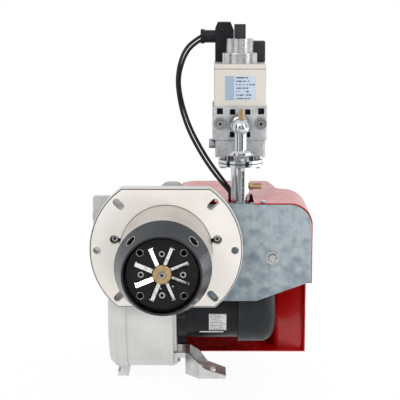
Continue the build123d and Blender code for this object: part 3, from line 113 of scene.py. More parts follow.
def makeLead(name, points, s):
    curve = bpy.data.curves.new(name, "CURVE")
    curve.dimensions = "3D"
    spline = curve.splines.new("NURBS")
    spline.points.add(len(points) - 1)
    for point, place in zip(spline.points, points):
        point.co = (*place, 1.0)
        point.radius = s["diameter"] / 2
    spline.order_u = 3
    spline.use_endpoint_u = True
    curve.resolution_u = s["stepsAlong"]
    curve.bevel_depth = 1.0  # each point's own radius gives the lead's thickness
    curve.bevel_resolution = s["stepsRound"]
    lead = bpy.data.objects.new(name, curve)
    scene.collection.objects.link(lead)
    return lead


leads = []
for name, node, side, length in (
    ("leadLeft", "lead_a", 1, leadSettings["lengths"][0]),
    ("leadRight", "lead_b", -1, leadSettings["lengths"][1]),
):
    points = leadPoints(leadSettings["route"], side, leadSettings["offset"])
    lead = makeLead(name, points, leadSettings)
    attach(lead, "burner")
    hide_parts(node)
    leads.append(lead)
print("leads laid")


def linear(r, g, b):
    # a display colour, 0 to 255, as the shader wants it
    values = []
    for v in (r / 255, g / 255, b / 255):
        values.append(v / 12.92 if v <= 0.04045 else ((v + 0.055) / 1.055) ** 2.4)
    return (*values, 1.0)


def startMaterial(name, colour, metallic, roughness):
    mat = bpy.data.materials.new(name)
    mat.use_nodes = True
    tree = mat.node_tree
    shader = tree.nodes["Principled BSDF"]
    shader.inputs["Base Color"].default_value = colour
    shader.inputs["Metallic"].default_value = metallic
    shader.inputs["Roughness"].default_value = roughness
    coords = tree.nodes.new("ShaderNodeTexCoord").outputs["Object"]
    return mat, tree, shader, coords


def stretched(tree, vector, scale):
    mapping = tree.nodes.new("ShaderNodeMapping")
    mapping.inputs["Scale"].default_value = scale
    tree.links.new(vector, mapping.inputs["Vector"])
    return mapping.outputs["Vector"]


def noise(tree, vector, scale, detail=3.0, roughness=0.5):
    node = tree.nodes.new("ShaderNodeTexNoise")
    node.inputs["Scale"].default_value = scale
    node.inputs["Detail"].default_value = detail
    node.inputs["Roughness"].default_value = roughness
    tree.links.new(vector, node.inputs["Vector"])
    return node.outputs["Fac"]


def ranged(tree, value, low, high, fromLow=0.3, fromHigh=0.7):
    node = tree.nodes.new("ShaderNodeMapRange")
    node.inputs["From Min"].default_value = fromLow
    node.inputs["From Max"].default_value = fromHigh
    node.inputs["To Min"].default_value = low
    node.inputs["To Max"].default_value = high
    tree.links.new(value, node.inputs["Value"])
    return node.outputs["Result"]


def mixed(tree, factor, first, second):
    node = tree.nodes.new("ShaderNodeMix")
    node.data_type = "RGBA"
    tree.links.new(factor, node.inputs["Factor"])
    for socket, colour in ((node.inputs[6], first), (node.inputs[7], second)):
        if isinstance(colour, tuple):
            socket.default_value = colour
        else:
            tree.links.new(colour, socket)
    return node.outputs[2]


def mathNode(tree, operation, first, second=None):
    node = tree.nodes.new("ShaderNodeMath")
    node.operation = operation
    for socket, value in zip(node.inputs, (first, second)):
        if value is None:
            continue
        if isinstance(value, (int, float)):
            socket.default_value = value
        else:
            tree.links.new(value, socket)
    return node.outputs["Value"]


def axisOf(tree, vector, axis):
    node = tree.nodes.new("ShaderNodeSeparateXYZ")
    tree.links.new(vector, node.inputs["Vector"])
    return node.outputs[axis]


def addBump(tree, shader, height, strength, distance):
    node = tree.nodes.new("ShaderNodeBump")
    node.inputs["Strength"].default_value = strength
    node.inputs["Distance"].default_value = distance
    tree.links.new(height, node.inputs["Height"])
    tree.links.new(node.outputs["Normal"], shader.inputs["Normal"])


def setColour(tree, shader, colour):
    tree.links.new(colour, shader.inputs["Base Color"])


def setRoughness(tree, shader, pattern, limits):
    tree.links.new(ranged(tree, pattern, *limits), shader.inputs["Roughness"])


def drifting(tree, coords, s, detail=3.0):
    # the finish's colour, wandering in soft patches to its second one
    factor = ranged(tree, noise(tree, coords, s["patch"], detail), 0, 1)
    return mixed(tree, factor, linear(*s["colour"]), linear(*s["drift"]))


cornerSettings = {
    "samples": 8,
    # colour of the painted shade in recesses
    "paintedShade": (28, 28, 30),
    "openness": (0.35, 0.85),
}


def paintShadeInCorners(tree, colour, reach, s=cornerSettings):
    # painted shade: a darker colour in recesses and under screw heads, where shade falls
    shade = tree.nodes.new("ShaderNodeAmbientOcclusion")
    shade.samples = s["samples"]
    shade.inputs["Distance"].default_value = reach
    factor = ranged(tree, shade.outputs["AO"], 0, 1, *s["openness"])
    return mixed(tree, factor, linear(*s["paintedShade"]), colour)


# each finish: its colour and the one it drifts to, then how fine its patches and grain are;
# corner is how far the painted shade reaches out of the recesses
finishSettings = {
    "castAluminium": dict(
        colour=(212, 212, 210), drift=(198, 198, 197), metallic=0.65, rough=(0.34, 0.48),
        patch=24, grain=900, depth=0.00025, strength=0.55,
    ),
    "brightCasting": dict(
        colour=(214, 214, 212), drift=(190, 191, 191), metallic=0.85, rough=(0.26, 0.42),
        patch=60, grain=1100, depth=0.00016, strength=0.5,
    ),
    "darkCasting": dict(
        colour=(34, 36, 38), drift=(24, 25, 26), metallic=0.3, rough=(0.4, 0.6),
        patch=60, grain=900, depth=0.0001, strength=0.4, gloss=0.2,
    ),
    "zincScrew": dict(
        colour=(200, 200, 199), drift=(160, 162, 164), metallic=1.0, rough=(0.14, 0.26),
        patch=300, grain=1500, depth=0.00003, strength=0.3, corner=0.004,
    ),
    "blackSatin": dict(
        colour=(66, 67, 70), drift=(58, 59, 62), metallic=0.8, rough=(0.22, 0.28),
        patch=45, grain=1400, depth=0.00002, strength=0.1, gloss=0.2,
    ),
    "sootBlack": dict(
        colour=(14, 13, 13), drift=(24, 22, 21), metallic=0.1, rough=(0.5, 0.66),
        patch=160, grain=900, depth=0.0001, strength=0.4, gloss=0.2,
    ),
    "plainSteel": dict(
        colour=(160, 160, 160), drift=(135, 136, 138), metallic=0.9, rough=(0.3, 0.5),
        patch=90, grain=900, depth=0.00005, strength=0.3,
    ),
    "turnedBrass": dict(
        colour=(186, 162, 122), drift=(164, 136, 96), metallic=0.8, rough=(0.26, 0.4),
        patch=220, grain=1500, depth=0.00004, strength=0.3,
    ),
    "ceramicWhite": dict(
        colour=(238, 236, 228), drift=(222, 219, 208), metallic=0.0, rough=(0.15, 0.3),
        patch=120, grain=800, depth=0.00003, strength=0.2,
    ),
    "dieCastGrey": dict(
        colour=(186, 187, 189), drift=(160, 162, 165), metallic=0.4, rough=(0.38, 0.55),
        patch=150, grain=1300, depth=0.00022, strength=0.6, corner=0.012,
    ),
    "greyPlastic": dict(
        colour=(50, 50, 52), drift=(42, 42, 44), metallic=0.0, rough=(0.3, 0.42),
        patch=60, grain=1600, depth=0.00006, strength=0.4, gloss=0.2,
    ),
    "darkPlastic": dict(
        colour=(40, 42, 44), drift=(33, 34, 36), metallic=0.0, rough=(0.35, 0.5),
        patch=60, grain=1600, depth=0.00006, strength=0.4, gloss=0.2,
    ),
    "blackPlastic": dict(
        colour=(28, 28, 32), drift=(20, 20, 23), metallic=0.0, rough=(0.28, 0.4),
        patch=90, grain=1600, depth=0.00004, strength=0.35, gloss=0.2,
    ),
    "motorEnamel": dict(
        colour=(26, 27, 30), drift=(18, 19, 21), metallic=0.1, rough=(0.28, 0.42),
        patch=80, grain=900, depth=0.00008, strength=0.35, gloss=0.2,
    ),
    "cableRubber": dict(
        colour=(22, 22, 24), drift=(15, 15, 16), metallic=0.0, rough=(0.34, 0.46),
        patch=120, grain=1500, depth=0.00005, strength=0.3, gloss=0.2,
    ),
    "capGrey": dict(
        colour=(168, 168, 170), drift=(150, 150, 152), metallic=0.3, rough=(0.4, 0.5),
        patch=90, grain=1300, depth=0.00006, strength=0.3,
    ),
    "buttonRed": dict(
        colour=(196, 40, 24), drift=(176, 30, 18), metallic=0.0, rough=(0.2, 0.3),
        patch=90, grain=900, depth=0.00003, strength=0.2,
    ),
    "fanSteel": dict(
        colour=(168, 172, 174), drift=(140, 146, 150), metallic=0.85, rough=(0.3, 0.48),
        patch=120, grain=700, depth=0.00005, strength=0.3,
    ),
}


def makeFinish(name, s):
    mat, tree, shader, coords = startMaterial(name, linear(*s["colour"]), s["metallic"], s["rough"][0])
    shader.inputs["Specular IOR Level"].default_value = s.get("gloss", 0.5)
    colour = drifting(tree, coords, s, 4.0)
    # painted shade in recesses and under heads, for finishes that give a reach
    if "corner" in s:
        colour = paintShadeInCorners(tree, colour, s["corner"])
    setColour(tree, shader, colour)
    # smudges a little finer than the patches
    setRoughness(tree, shader, noise(tree, coords, s["patch"] * 2.7), s["rough"])
    addBump(tree, shader, noise(tree, coords, s["grain"], 2.0), s["strength"], s["depth"])
    return mat


finishes = {name: makeFinish(name, s) for name, s in finishSettings.items()}

flangeFinish = {
    "face": (226, 223, 219),
    "shade": (214, 209, 203),
    # painted shade along the broken edge
    "line": (70, 66, 62),
    "side": (206, 205, 203),
    "shadeLineDepth": (0.0002, 0.0016),  # behind the front face
    "rough": (0.36, 0.52),
    "patch": 9,
    "smudge": 60,
    "grain": 1200,
}


def makeFlangeFinish(s):
    # machined front, a line of painted shade where the edge is broken, and the plain cast side behind it
    mat, tree, shader, coords = startMaterial("machinedCasting", linear(*s["face"]), 0.3, 0.45)
    patches = ranged(tree, noise(tree, coords, s["patch"]), 0, 1)
    face = mixed(tree, patches, linear(*s["face"]), linear(*s["shade"]))
    depth = axisOf(tree, coords, "Y")
    behind = mathNode(tree, "GREATER_THAN", depth, s["shadeLineDepth"][0])
    sided = mathNode(tree, "GREATER_THAN", depth, s["shadeLineDepth"][1])
    # painted shade: the dark line just behind the front face
    shadeLined = mixed(tree, behind, face, linear(*s["line"]))
    setColour(tree, shader, mixed(tree, sided, shadeLined, linear(*s["side"])))
    setRoughness(tree, shader, noise(tree, coords, s["smudge"]), s["rough"])
    addBump(tree, shader, noise(tree, coords, s["grain"], 2.0), 0.3, 0.0001)
    return mat


tubeFinish = {
    "colour": (204, 198, 191),
    "drift": (188, 181, 174),
    "rough": (0.34, 0.48),
    "patch": 16,
    "ringStretch": (3, 260, 3),
    "ringShare": 0.4,  # the rest of the drift follows the patches
}


def makeTubeFinish(s):
    # rolled steel: faint rings round the tube, and heat-warmed patches
    mat, tree, shader, coords = startMaterial("rolledSteel", linear(*s["colour"]), 0.7, 0.4)
    rings = noise(tree, stretched(tree, coords, s["ringStretch"]), 1.0)
    patches = noise(tree, coords, s["patch"])
    ringPart = mathNode(tree, "MULTIPLY", rings, s["ringShare"])
    patchPart = mathNode(tree, "MULTIPLY", patches, 1 - s["ringShare"])
    factor = ranged(tree, mathNode(tree, "ADD", ringPart, patchPart), 0, 1)
    setColour(tree, shader, mixed(tree, factor, linear(*s["colour"]), linear(*s["drift"])))
    setRoughness(tree, shader, rings, s["rough"])
    addBump(tree, shader, rings, 0.2, 0.0001)
    return mat


zincFinish = {
    "low": (110, 123, 130),
    "high": (150, 161, 166),
    "slope": (3.6, 5.0),  # how fast it lightens to the right and upwards, per metre
    "mottle": (-0.7, 0.7),
    "streak": (0.93, 1.06),
    "streakStretch": (420, 420, 18),
    "rough": (0.36, 0.5),
    "patch": 70,
}


def makeZincFinish(s):
    # rolled zinc sheet: fine upright streaks, mottled, darker at the lower left
    mat, tree, shader, coords = startMaterial("galvanisedSheet", linear(*s["low"]), 0.35, 0.45)
    across = mathNode(tree, "MULTIPLY", axisOf(tree, coords, "X"), s["slope"][0])
    up = mathNode(tree, "MULTIPLY", axisOf(tree, coords, "Z"), s["slope"][1])
    slope = mathNode(tree, "ADD", across, up)
    patches = noise(tree, coords, s["patch"], 4.0)
    streaks = noise(tree, stretched(tree, coords, s["streakStretch"]), 1.0)
    soft = mathNode(tree, "ADD", slope, ranged(tree, patches, *s["mottle"]))
    tone = mixed(tree, ranged(tree, soft, 0, 1, -0.3, 0.9), linear(*s["low"]), linear(*s["high"]))
    scaled = tree.nodes.new("ShaderNodeVectorMath")
    scaled.operation = "SCALE"
    tree.links.new(tone, scaled.inputs[0])
    tree.links.new(ranged(tree, streaks, *s["streak"]), scaled.inputs["Scale"])
    setColour(tree, shader, scaled.outputs["Vector"])
    setRoughness(tree, shader, streaks, s["rough"])
    addBump(tree, shader, streaks, 0.12, 0.00008)
    return mat


coilFinish = {
    "colour": (193, 189, 182),
    "drift": (187, 183, 175),
    "groove": (96, 92, 86),
    "grooveZ": (0.2436, 0.2446),
    "rough": (0.36, 0.48),
    "patch": 30,
    "smudge": 80,
    "grain": 1500,
}


def makeCoilFinish(s):
    # moulded housing, with the dark joint under its lid
    mat, tree, shader, coords = startMaterial("beigePlastic", linear(*s["colour"]), 0.0, 0.42)
    body = drifting(tree, coords, s, 4.0)
    height = axisOf(tree, coords, "Z")
    above = mathNode(tree, "GREATER_THAN", height, s["grooveZ"][0])
    below = mathNode(tree, "LESS_THAN", height, s["grooveZ"][1])
    inGroove = mathNode(tree, "MULTIPLY", above, below)
    setColour(tree, shader, mixed(tree, inGroove, body, linear(*s["groove"])))
    setRoughness(tree, shader, noise(tree, coords, s["smudge"]), s["rough"])
    addBump(tree, shader, noise(tree, coords, s["grain"], 2.0), 0.3, 0.00005)
    return mat


chromeFinish = {
    "colour": (200, 203, 207),
    "rough": (0.05, 0.16),
    "smearStretch": (30, 30, 260),
    "grain": 700,
}


def makeChromeFinish(s):
    mat, tree, shader, coords = startMaterial("polishedChrome", linear(*s["colour"]), 1.0, 0.08)
    smears = noise(tree, stretched(tree, coords, s["smearStretch"]), 1.0, 2.0)
    setRoughness(tree, shader, smears, s["rough"])
    addBump(tree, shader, noise(tree, coords, s["grain"], 2.0), 0.06, 0.00005)
    return mat


turnedFinish = {
    "colour": (208, 208, 209),
    "drift": (188, 188, 190),
    "rough": (0.2, 0.4),
    "ringStretch": (8, 8, 2200),
    "patch": 90,
}


def makeTurnedFinish(s):
    # aluminium with the lathe's rings
    mat, tree, shader, coords = startMaterial("turnedAluminium", linear(*s["colour"]), 0.95, 0.25)
    rings = noise(tree, stretched(tree, coords, s["ringStretch"]), 1.0, 2.0)
    setColour(tree, shader, drifting(tree, coords, s))
    setRoughness(tree, shader, rings, s["rough"])
    addBump(tree, shader, rings, 0.15, 0.00006)
    return mat


vaneFinish = {
    "colour": (238, 238, 238),
    "tint": (186, 182, 176),
    "rough": (0.1, 0.2),
    "patch": 260,
    "smudge": 400,
}


def makeVaneFinish(s):
    # bright sheet, tinted in spots by the flame
    mat, tree, shader, coords = startMaterial("brightVane", linear(*s["colour"]), 1.0, 0.14)
    factor = ranged(tree, noise(tree, coords, s["patch"], 4.0), 0, 1, 0.45, 0.75)
    setColour(tree, shader, mixed(tree, factor, linear(*s["colour"]), linear(*s["tint"])))
    setRoughness(tree, shader, noise(tree, coords, s["smudge"]), s["rough"])
    return mat


redFinish = {
    "colour": (190, 6, 5),
    "drift": (180, 4, 4),
    "rough": (0.22, 0.34),
    "coat": 0.35,
    "coatRough": 0.12,
    "patch": 12,
    "smudge": 45,
    "grain": 420,
}


def makeRedFinish(s):
    # stoved enamel with a thin gloss coat
    mat, tree, shader, coords = startMaterial("glossRed", linear(*s["colour"]), 0.0, 0.28)
    setColour(tree, shader, drifting(tree, coords, s))
    setRoughness(tree, shader, noise(tree, coords, s["smudge"]), s["rough"])
    shader.inputs["Coat Weight"].default_value = s["coat"]
    shader.inputs["Coat Roughness"].default_value = s["coatRough"]
    addBump(tree, shader, noise(tree, coords, s["grain"], 2.0), 0.06, 0.00008)
    return mat


finishes["beigePlastic"] = makeCoilFinish(coilFinish)
finishes["machinedCasting"] = makeFlangeFinish(flangeFinish)
finishes["rolledSteel"] = makeTubeFinish(tubeFinish)
finishes["galvanisedSheet"] = makeZincFinish(zincFinish)
finishes["polishedChrome"] = makeChromeFinish(chromeFinish)
finishes["turnedAluminium"] = makeTurnedFinish(turnedFinish)
finishes["brightVane"] = makeVaneFinish(vaneFinish)
finishes["glossRed"] = makeRedFinish(redFinish)

finishOf = {
    "castAluminium": ("fan_housing", "air_intake"),
    "brightCasting": ("foot_bracket",),
    "machinedCasting": ("mounting_flange",),
    "darkCasting": ("clamp_ring",),
    "zincScrew": (
        "clamp_screws", "body_screws", "cap_screw", "valve_screws", "flange_screws", "gas_nozzles",
        "head_rod", "bearings", "rotor_shaft", "electrodes",
    ),
    "rolledSteel": ("blast_tube",),
    "blackSatin": ("flame_cone",),
    "sootBlack": ("swirl_disc", "gas_head"),
    "plainSteel": ("gas_lance", "gas_manifold", "electrode_clamp", "stator"),
    "turnedBrass": ("nozzle_cap", "test_nipples"),
    "ceramicWhite": ("insulators",),
    "galvanisedSheet": ("front_plate", "tray"),
    "polishedChrome": ("gas_pipe", "pipe_flanges", "union_nut", "valve_elbow"),
    "glossRed": ("cover",),
    "dieCastGrey": ("valve_body", "valve_base"),
    "beigePlastic": ("coil_housing",),
    "turnedAluminium": ("ring_cap", "flow_adjuster"),
    "greyPlastic": ("adjuster_knob", "pressure_switch"),
    "darkPlastic": (
        "motor_cowl", "damper_knob", "cooling_fan", "terminal_block", "control_box", "ignition_transformer",
        "air_switch", "air_damper",
    ),
    "blackPlastic": ("din_plug", "cable_gland"),
    "motorEnamel": ("motor_bell", "motor_shell"),
    "cableRubber": ("flange_gasket",),
    "capGrey": ("duct_cap",),
    "buttonRed": ("reset_button",),
    "fanSteel": ("impeller",),
    "brightVane": ("swirl_vanes",),
}


def giveFinish(obj, name):
    obj.data.materials.clear()
    obj.data.materials.append(finishes[name])


for name, members in finishOf.items():
    for member in members:
        giveFinish(nodes[member], name)
for lead in leads:
    giveFinish(lead, "cableRubber")
print("finishes given:", len(finishes))


def placePiece(name, mesh, body, slot, *replaced):
    obj = bpy.data.objects.new(name, mesh)
    scene.collection.objects.link(obj)
    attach(obj, body)
    if replaced:
        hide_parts(*replaced)
    return obj


# the coil's label, the motor's rating plate and the thin strip below it, with ruled lines only
labelSettings = {
    "coilX": (0.0830, 0.1270),
    "coilZ": (0.199, 0.234),
    "motorX": (0.0600, 0.0855),
    "motorZ": (-0.1370, -0.1100),
    "stripX": (0.0462, 0.0812),
    "stripZ": (-0.1415, -0.1395),
    "motorAxis": (0.120, -0.106),
    "motorRadius": 0.05205,
    "thickness": 0.0005,
}

coilFilm = {
    "paper": (170, 184, 198),
    "band": (136, 156, 172),
    "ink": (60, 66, 84),
    "rows": 7,
    "marks": 26,
    "bandWidth": 0.3,
}

ratingFilm = {
    "paper": (212, 212, 210),
    "band": (212, 212, 210),
    "ink": (60, 66, 84),
    "rows": 11,
    "marks": 30,
    "bandWidth": 0.0,
}


def makeLabelFinish(name, s):
    # rows of short ruled strokes of uneven length on pale film
    mat, tree, shader, coords = startMaterial(name, linear(*s["paper"]), 0.0, 0.4)
    uv = tree.nodes.new("ShaderNodeTexCoord").outputs["UV"]
    across = axisOf(tree, uv, "X")
    up = axisOf(tree, uv, "Y")
    scaled = mathNode(tree, "MULTIPLY", up, s["rows"])
    line = mathNode(tree, "FRACT", scaled)
    row = mathNode(tree, "FLOOR", scaled)
    fromMiddle = mathNode(tree, "ABSOLUTE", mathNode(tree, "SUBTRACT", line, 0.5))
    onLine = mathNode(tree, "LESS_THAN", fromMiddle, 0.2)
    together = tree.nodes.new("ShaderNodeCombineXYZ")
    tree.links.new(mathNode(tree, "MULTIPLY", across, s["marks"]), together.inputs["X"])
    tree.links.new(mathNode(tree, "MULTIPLY", row, 7.31), together.inputs["Y"])  # no two rows alike
    strokes = mathNode(tree, "GREATER_THAN", noise(tree, together.outputs["Vector"], 1.0, 1.0), 0.47)
    rowNoise = noise(tree, stretched(tree, together.outputs["Vector"], (0, 1, 1)), 3.0, 0.0)
    rowEnd = mathNode(tree, "ADD", mathNode(tree, "MULTIPLY", rowNoise, 0.9), 0.4)
    inRow = mathNode(tree, "LESS_THAN", across, rowEnd)
    margin = mathNode(tree, "GREATER_THAN", across, s["bandWidth"] + 0.06)
    stroked = mathNode(tree, "MULTIPLY", onLine, strokes)
    inside = mathNode(tree, "MULTIPLY", inRow, margin)
    inked = mathNode(tree, "MULTIPLY", stroked, inside)
    banded = mathNode(tree, "LESS_THAN", across, s["bandWidth"])
    paper = mixed(tree, banded, linear(*s["paper"]), linear(*s["band"]))
    setColour(tree, shader, mixed(tree, inked, paper, linear(*s["ink"])))
    setRoughness(tree, shader, noise(tree, coords, 120), (0.32, 0.46))
    return mat


def makeLabels(s):
    mesh = bpy.data.meshes.new("labelPair")
    bm = bmesh.new()
    uvLayer = bm.loops.layers.uv.new("labelUv")
    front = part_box("coil_housing")[0].y

    def onMotor(u, v, lift, wide, high):
        x = wide[0] + u * (wide[1] - wide[0])
        z = high[0] + v * (high[1] - high[0])
        axisY, axisZ = s["motorAxis"]
        turn = math.asin((z - axisZ) / s["motorRadius"])
        radius = s["motorRadius"] + lift
        return (x, axisY - radius * math.cos(turn), axisZ + radius * math.sin(turn))

    def coilPoint(u, v, lift):
        x = s["coilX"][0] + u * (s["coilX"][1] - s["coilX"][0])
        z = s["coilZ"][0] + v * (s["coilZ"][1] - s["coilZ"][0])
        return (x, front - lift, z)

    def motorPoint(u, v, lift):
        return onMotor(u, v, lift, s["motorX"], s["motorZ"])

    def stripPoint(u, v, lift):
        return onMotor(u, v, lift, s["stripX"], s["stripZ"])

    def addFace(index, *corners):
        face = bm.faces.new(corners)
        face.material_index = index
        return face

    def sheet(place, index, steps):
        # a thin closed film, from its back on the surface to its printed top
        rims = []
        for lift in (0.0, s["thickness"]):
            rows = []
            for v in range(steps + 1):
                rows.append([bm.verts.new(place(u, v / steps, lift)) for u in (0, 1)])
            rims.append(rows)
        back, top = rims
        for v in range(steps):
            face = addFace(index, top[v][0], top[v][1], top[v + 1][1], top[v + 1][0])
            for loop, uv in zip(face.loops, ((0, v), (1, v), (1, v + 1), (0, v + 1))):
                loop[uvLayer].uv = (uv[0], uv[1] / steps)
            addFace(index, back[v][1], back[v][0], back[v + 1][0], back[v + 1][1])
            addFace(index, back[v][0], top[v][0], top[v + 1][0], back[v + 1][0])
            addFace(index, top[v][1], back[v][1], back[v + 1][1], top[v + 1][1])
        addFace(index, top[0][1], top[0][0], back[0][0], back[0][1])
        addFace(index, top[-1][0], top[-1][1], back[-1][1], back[-1][0])

    sheet(coilPoint, 0, 1)
    sheet(motorPoint, 1, 10)
    sheet(stripPoint, 2, 2)
    bm.to_mesh(mesh)
    bm.free()
    return mesh


labels = placePiece("labelPair", makeLabels(labelSettings), "burner", "label", "nameplates")
labels.data.materials.append(makeLabelFinish("coilLabel", coilFilm))
labels.data.materials.append(makeLabelFinish("ratingPlate", ratingFilm))
labels.data.materials.append(finishes["ceramicWhite"])
print("labels made")


# what repeats round the burner's axis: the disc's vanes, and the bright rims of drilled holes
vaneSettings = {
    "count": 8,
    "firstAngle": 22.5,
    "inner": 0.0130,
    "outer": 0.0370,
    "width": 0.0085,
    "thickness": 0.0008,
    "tilt": -32.0,
    "tab": 0.0022,
    "place": -0.13925,
}

rimSettings = {
    "disc": dict(
        count=4, firstAngle=45.0, pitch=0.0398, radius=0.0044, wire=0.00045, place=-0.1400, lean=0.0,
    ),
    "cone": dict(
        count=4, firstAngle=45.0, pitch=0.0571, radius=0.0073, wire=0.0005, place=-0.1270, lean=71.0,
    ),
    "stepsAround": 40,
    "stepsAbout": 8,
}


def addInput(tree, name, kind, value):
    socket = tree.interface.new_socket(name=name, in_out="INPUT", socket_type=kind)
    if value is not None:
        socket.default_value = value
    return socket


def startPattern(name, inputs):
    # a tree that sets copies round the Y axis; its named inputs are returned by name
    tree = bpy.data.node_groups.new(name, "GeometryNodeTree")
    addInput(tree, "Piece", "NodeSocketGeometry", None)
    for label, kind, value in inputs:
        addInput(tree, label, kind, value)
    tree.interface.new_socket(name="Result", in_out="OUTPUT", socket_type="NodeSocketGeometry")
    return tree, tree.nodes.new("NodeGroupInput"), tree.nodes.new("NodeGroupOutput")


def ringPattern(name):
    inputs = (
        ("Count", "NodeSocketInt", 4),
        ("First Angle", "NodeSocketFloat", 0.0),
        ("Finish", "NodeSocketMaterial", None),
    )
    tree, given, result = startPattern(name, inputs)
    points = tree.nodes.new("GeometryNodePoints")
    index = tree.nodes.new("GeometryNodeInputIndex")
    share = mathNode(tree, "DIVIDE", index.outputs[0], given.outputs["Count"])
    turned = mathNode(tree, "MULTIPLY", share, math.tau)
    angle = mathNode(tree, "ADD", turned, given.outputs["First Angle"])
    spin = tree.nodes.new("ShaderNodeCombineXYZ")
    tree.links.new(angle, spin.inputs["Y"])
    copies = tree.nodes.new("GeometryNodeInstanceOnPoints")
    tree.links.new(given.outputs["Count"], points.inputs["Count"])
    tree.links.new(points.outputs[0], copies.inputs["Points"])
    tree.links.new(given.outputs["Piece"], copies.inputs["Instance"])
    tree.links.new(spin.outputs["Vector"], copies.inputs["Rotation"])
    whole = tree.nodes.new("GeometryNodeRealizeInstances")
    tree.links.new(copies.outputs["Instances"], whole.inputs["Geometry"])
    finish = tree.nodes.new("GeometryNodeSetMaterial")
    tree.links.new(whole.outputs["Geometry"], finish.inputs["Geometry"])
    tree.links.new(given.outputs["Finish"], finish.inputs["Material"])
    tree.links.new(finish.outputs["Geometry"], result.inputs["Result"])
    return tree


def repeatRound(name, mesh, tree, s, finish):
    # one plain mesh with every copy in place
    carrier = bpy.data.objects.new(name, mesh)
    scene.collection.objects.link(carrier)
    modifier = carrier.modifiers.new("pattern", "NODES")
    modifier.node_group = tree
    wanted = {
        "Count": s["count"],
        "First Angle": math.radians(s["firstAngle"]),
        "Finish": finishes[finish],
    }
    for item in tree.interface.items_tree:
        if item.in_out == "INPUT" and item.name in wanted:
            modifier[item.identifier] = wanted[item.name]
    graph = bpy.context.evaluated_depsgraph_get()
    plain = bpy.data.meshes.new_from_object(carrier.evaluated_get(graph))
    bpy.data.objects.remove(carrier)
    return plain


def makeVane(s):
    # a tilted blade with a small tab turned forwards at its outer end
    mesh = bpy.data.meshes.new("vane")
    bm = bmesh.new()
    blade = Matrix.Diagonal((s["outer"] - s["inner"], s["thickness"], s["width"], 1.0))
    bmesh.ops.create_cube(bm, size=1.0, matrix=blade)
    tab = Matrix.Diagonal((s["thickness"], s["tab"], s["width"] * 0.7, 1.0))
    shift = Matrix.Translation(((s["outer"] - s["inner"]) / 2 - s["thickness"], -s["tab"] / 2, 0))
    bmesh.ops.create_cube(bm, size=1.0, matrix=shift @ tab)
    lean = Matrix.Rotation(math.radians(90 - s["tilt"]), 4, "X")
    middle = Matrix.Translation(((s["outer"] + s["inner"]) / 2, s["place"], 0))
    bm.transform(middle @ lean @ Matrix.Rotation(math.radians(-90), 4, "X"))
    bm.to_mesh(mesh)
    bm.free()
    return mesh


def makeRim(s, around, about):
    # a thin round wire, lying on the surface round one hole
    mesh = bpy.data.meshes.new("rim")
    bm = bmesh.new()
    rows = []
    for i in range(around):
        turn = math.tau * i / around
        row = []
        for k in range(about):
            tip = math.tau * k / about
            reach = s["radius"] + s["wire"] * math.cos(tip)
            lift = s["wire"] * math.sin(tip)
            row.append(bm.verts.new((reach * math.cos(turn), lift, reach * math.sin(turn))))
        rows.append(row)
    for i in range(around):
        ahead = rows[(i + 1) % around]
        for k in range(about):
            bm.faces.new((rows[i][k], rows[i][(k + 1) % about], ahead[(k + 1) % about], ahead[k]))
    bmesh.ops.recalc_face_normals(bm, faces=bm.faces)
    lean = Matrix.Rotation(math.radians(s["lean"]), 4, "Z")
    bm.transform(Matrix.Translation((s["pitch"], s["place"], 0)) @ lean)
    bm.to_mesh(mesh)
    bm.free()
    for face in mesh.polygons:
        face.use_smooth = True
    return mesh


ringTree = ringPattern("roundTheAxis")
vaneMesh = repeatRound("vanePattern", makeVane(vaneSettings), ringTree, vaneSettings, "brightVane")
placePiece("swirlVanes", vaneMesh, "head", "bright_steel", "swirl_vanes")
for name, body in (("disc", "head"), ("cone", "burner")):
    rim = rimSettings[name]
    rimShape = makeRim(rim, rimSettings["stepsAround"], rimSettings["stepsAbout"])
    rimMesh = repeatRound(name + "RimPattern", rimShape, ringTree, rim, "zincScrew")
    placePiece(name + "Rims", rimMesh, body, "bright_steel")
print("vanes and rims made")

# studio: pale floor, white surroundings, three soft lamps, and cards that only metal sees
studioSettings = {
    "floorSize": 8.0,
    "floorZ": -0.2131,
    "floorColour": (0.9, 0.9, 0.9, 1.0),
    "clearRadius": (0.1, 0.32),
    "nearGlow": 0.93,
    "worldLight": 0.62,
    "lampAim": (0.05, 0.05, 0.0),
    "lamps": (
        ("keyLamp", (-0.9, -1.5, 1.5), (1.2, 1.2), 26.0),
        ("rightLamp", (1.5, -0.9, 0.9), (0.9, 1.4), 12.0),
        ("lowLamp", (0.45, -1.5, -0.12), (0.5, 0.3), 5.0),
    ),
    "cardAngles": (-66, -16, 33, 78),
    "cardCentre": (0.08, 0.1, 0.2),
    "cardReach": 1.15,
    "cardSize": (0.42, 1.5),
    "frontCard": ((0.05, -0.95, 0.0), (0.9, 0.55), 0),
    "frontGlow": (0.02, 0.75),
    "brightCards": (
        ((0.80, 0.25, -0.17), (1.1, 0.5), -90),
    ),
    "brightPower": 1.8,
    "brightColour": (0.93, 0.97, 1.0, 1),
    "darkColour": (0.02, 0.02, 0.02, 1),
}


def seenRays(tree):
    # what the camera sees, and what gloss and glass show of it
    path = tree.nodes.new("ShaderNodeLightPath").outputs
    seen = mathNode(tree, "MAXIMUM", path["Is Camera Ray"], path["Is Glossy Ray"])
    return mathNode(tree, "MAXIMUM", seen, path["Is Transmission Ray"])


def makeWorld(s):
    world = bpy.data.worlds.new("studioWorld")
    scene.world = world
    world.use_nodes = True
    tree = world.node_tree
    background = tree.nodes["Background"]
    light = ranged(tree, seenRays(tree), s["worldLight"], 1.0, 0, 1)
    tree.links.new(light, background.inputs["Strength"])
    background.inputs["Color"].default_value = (1, 1, 1, 1)


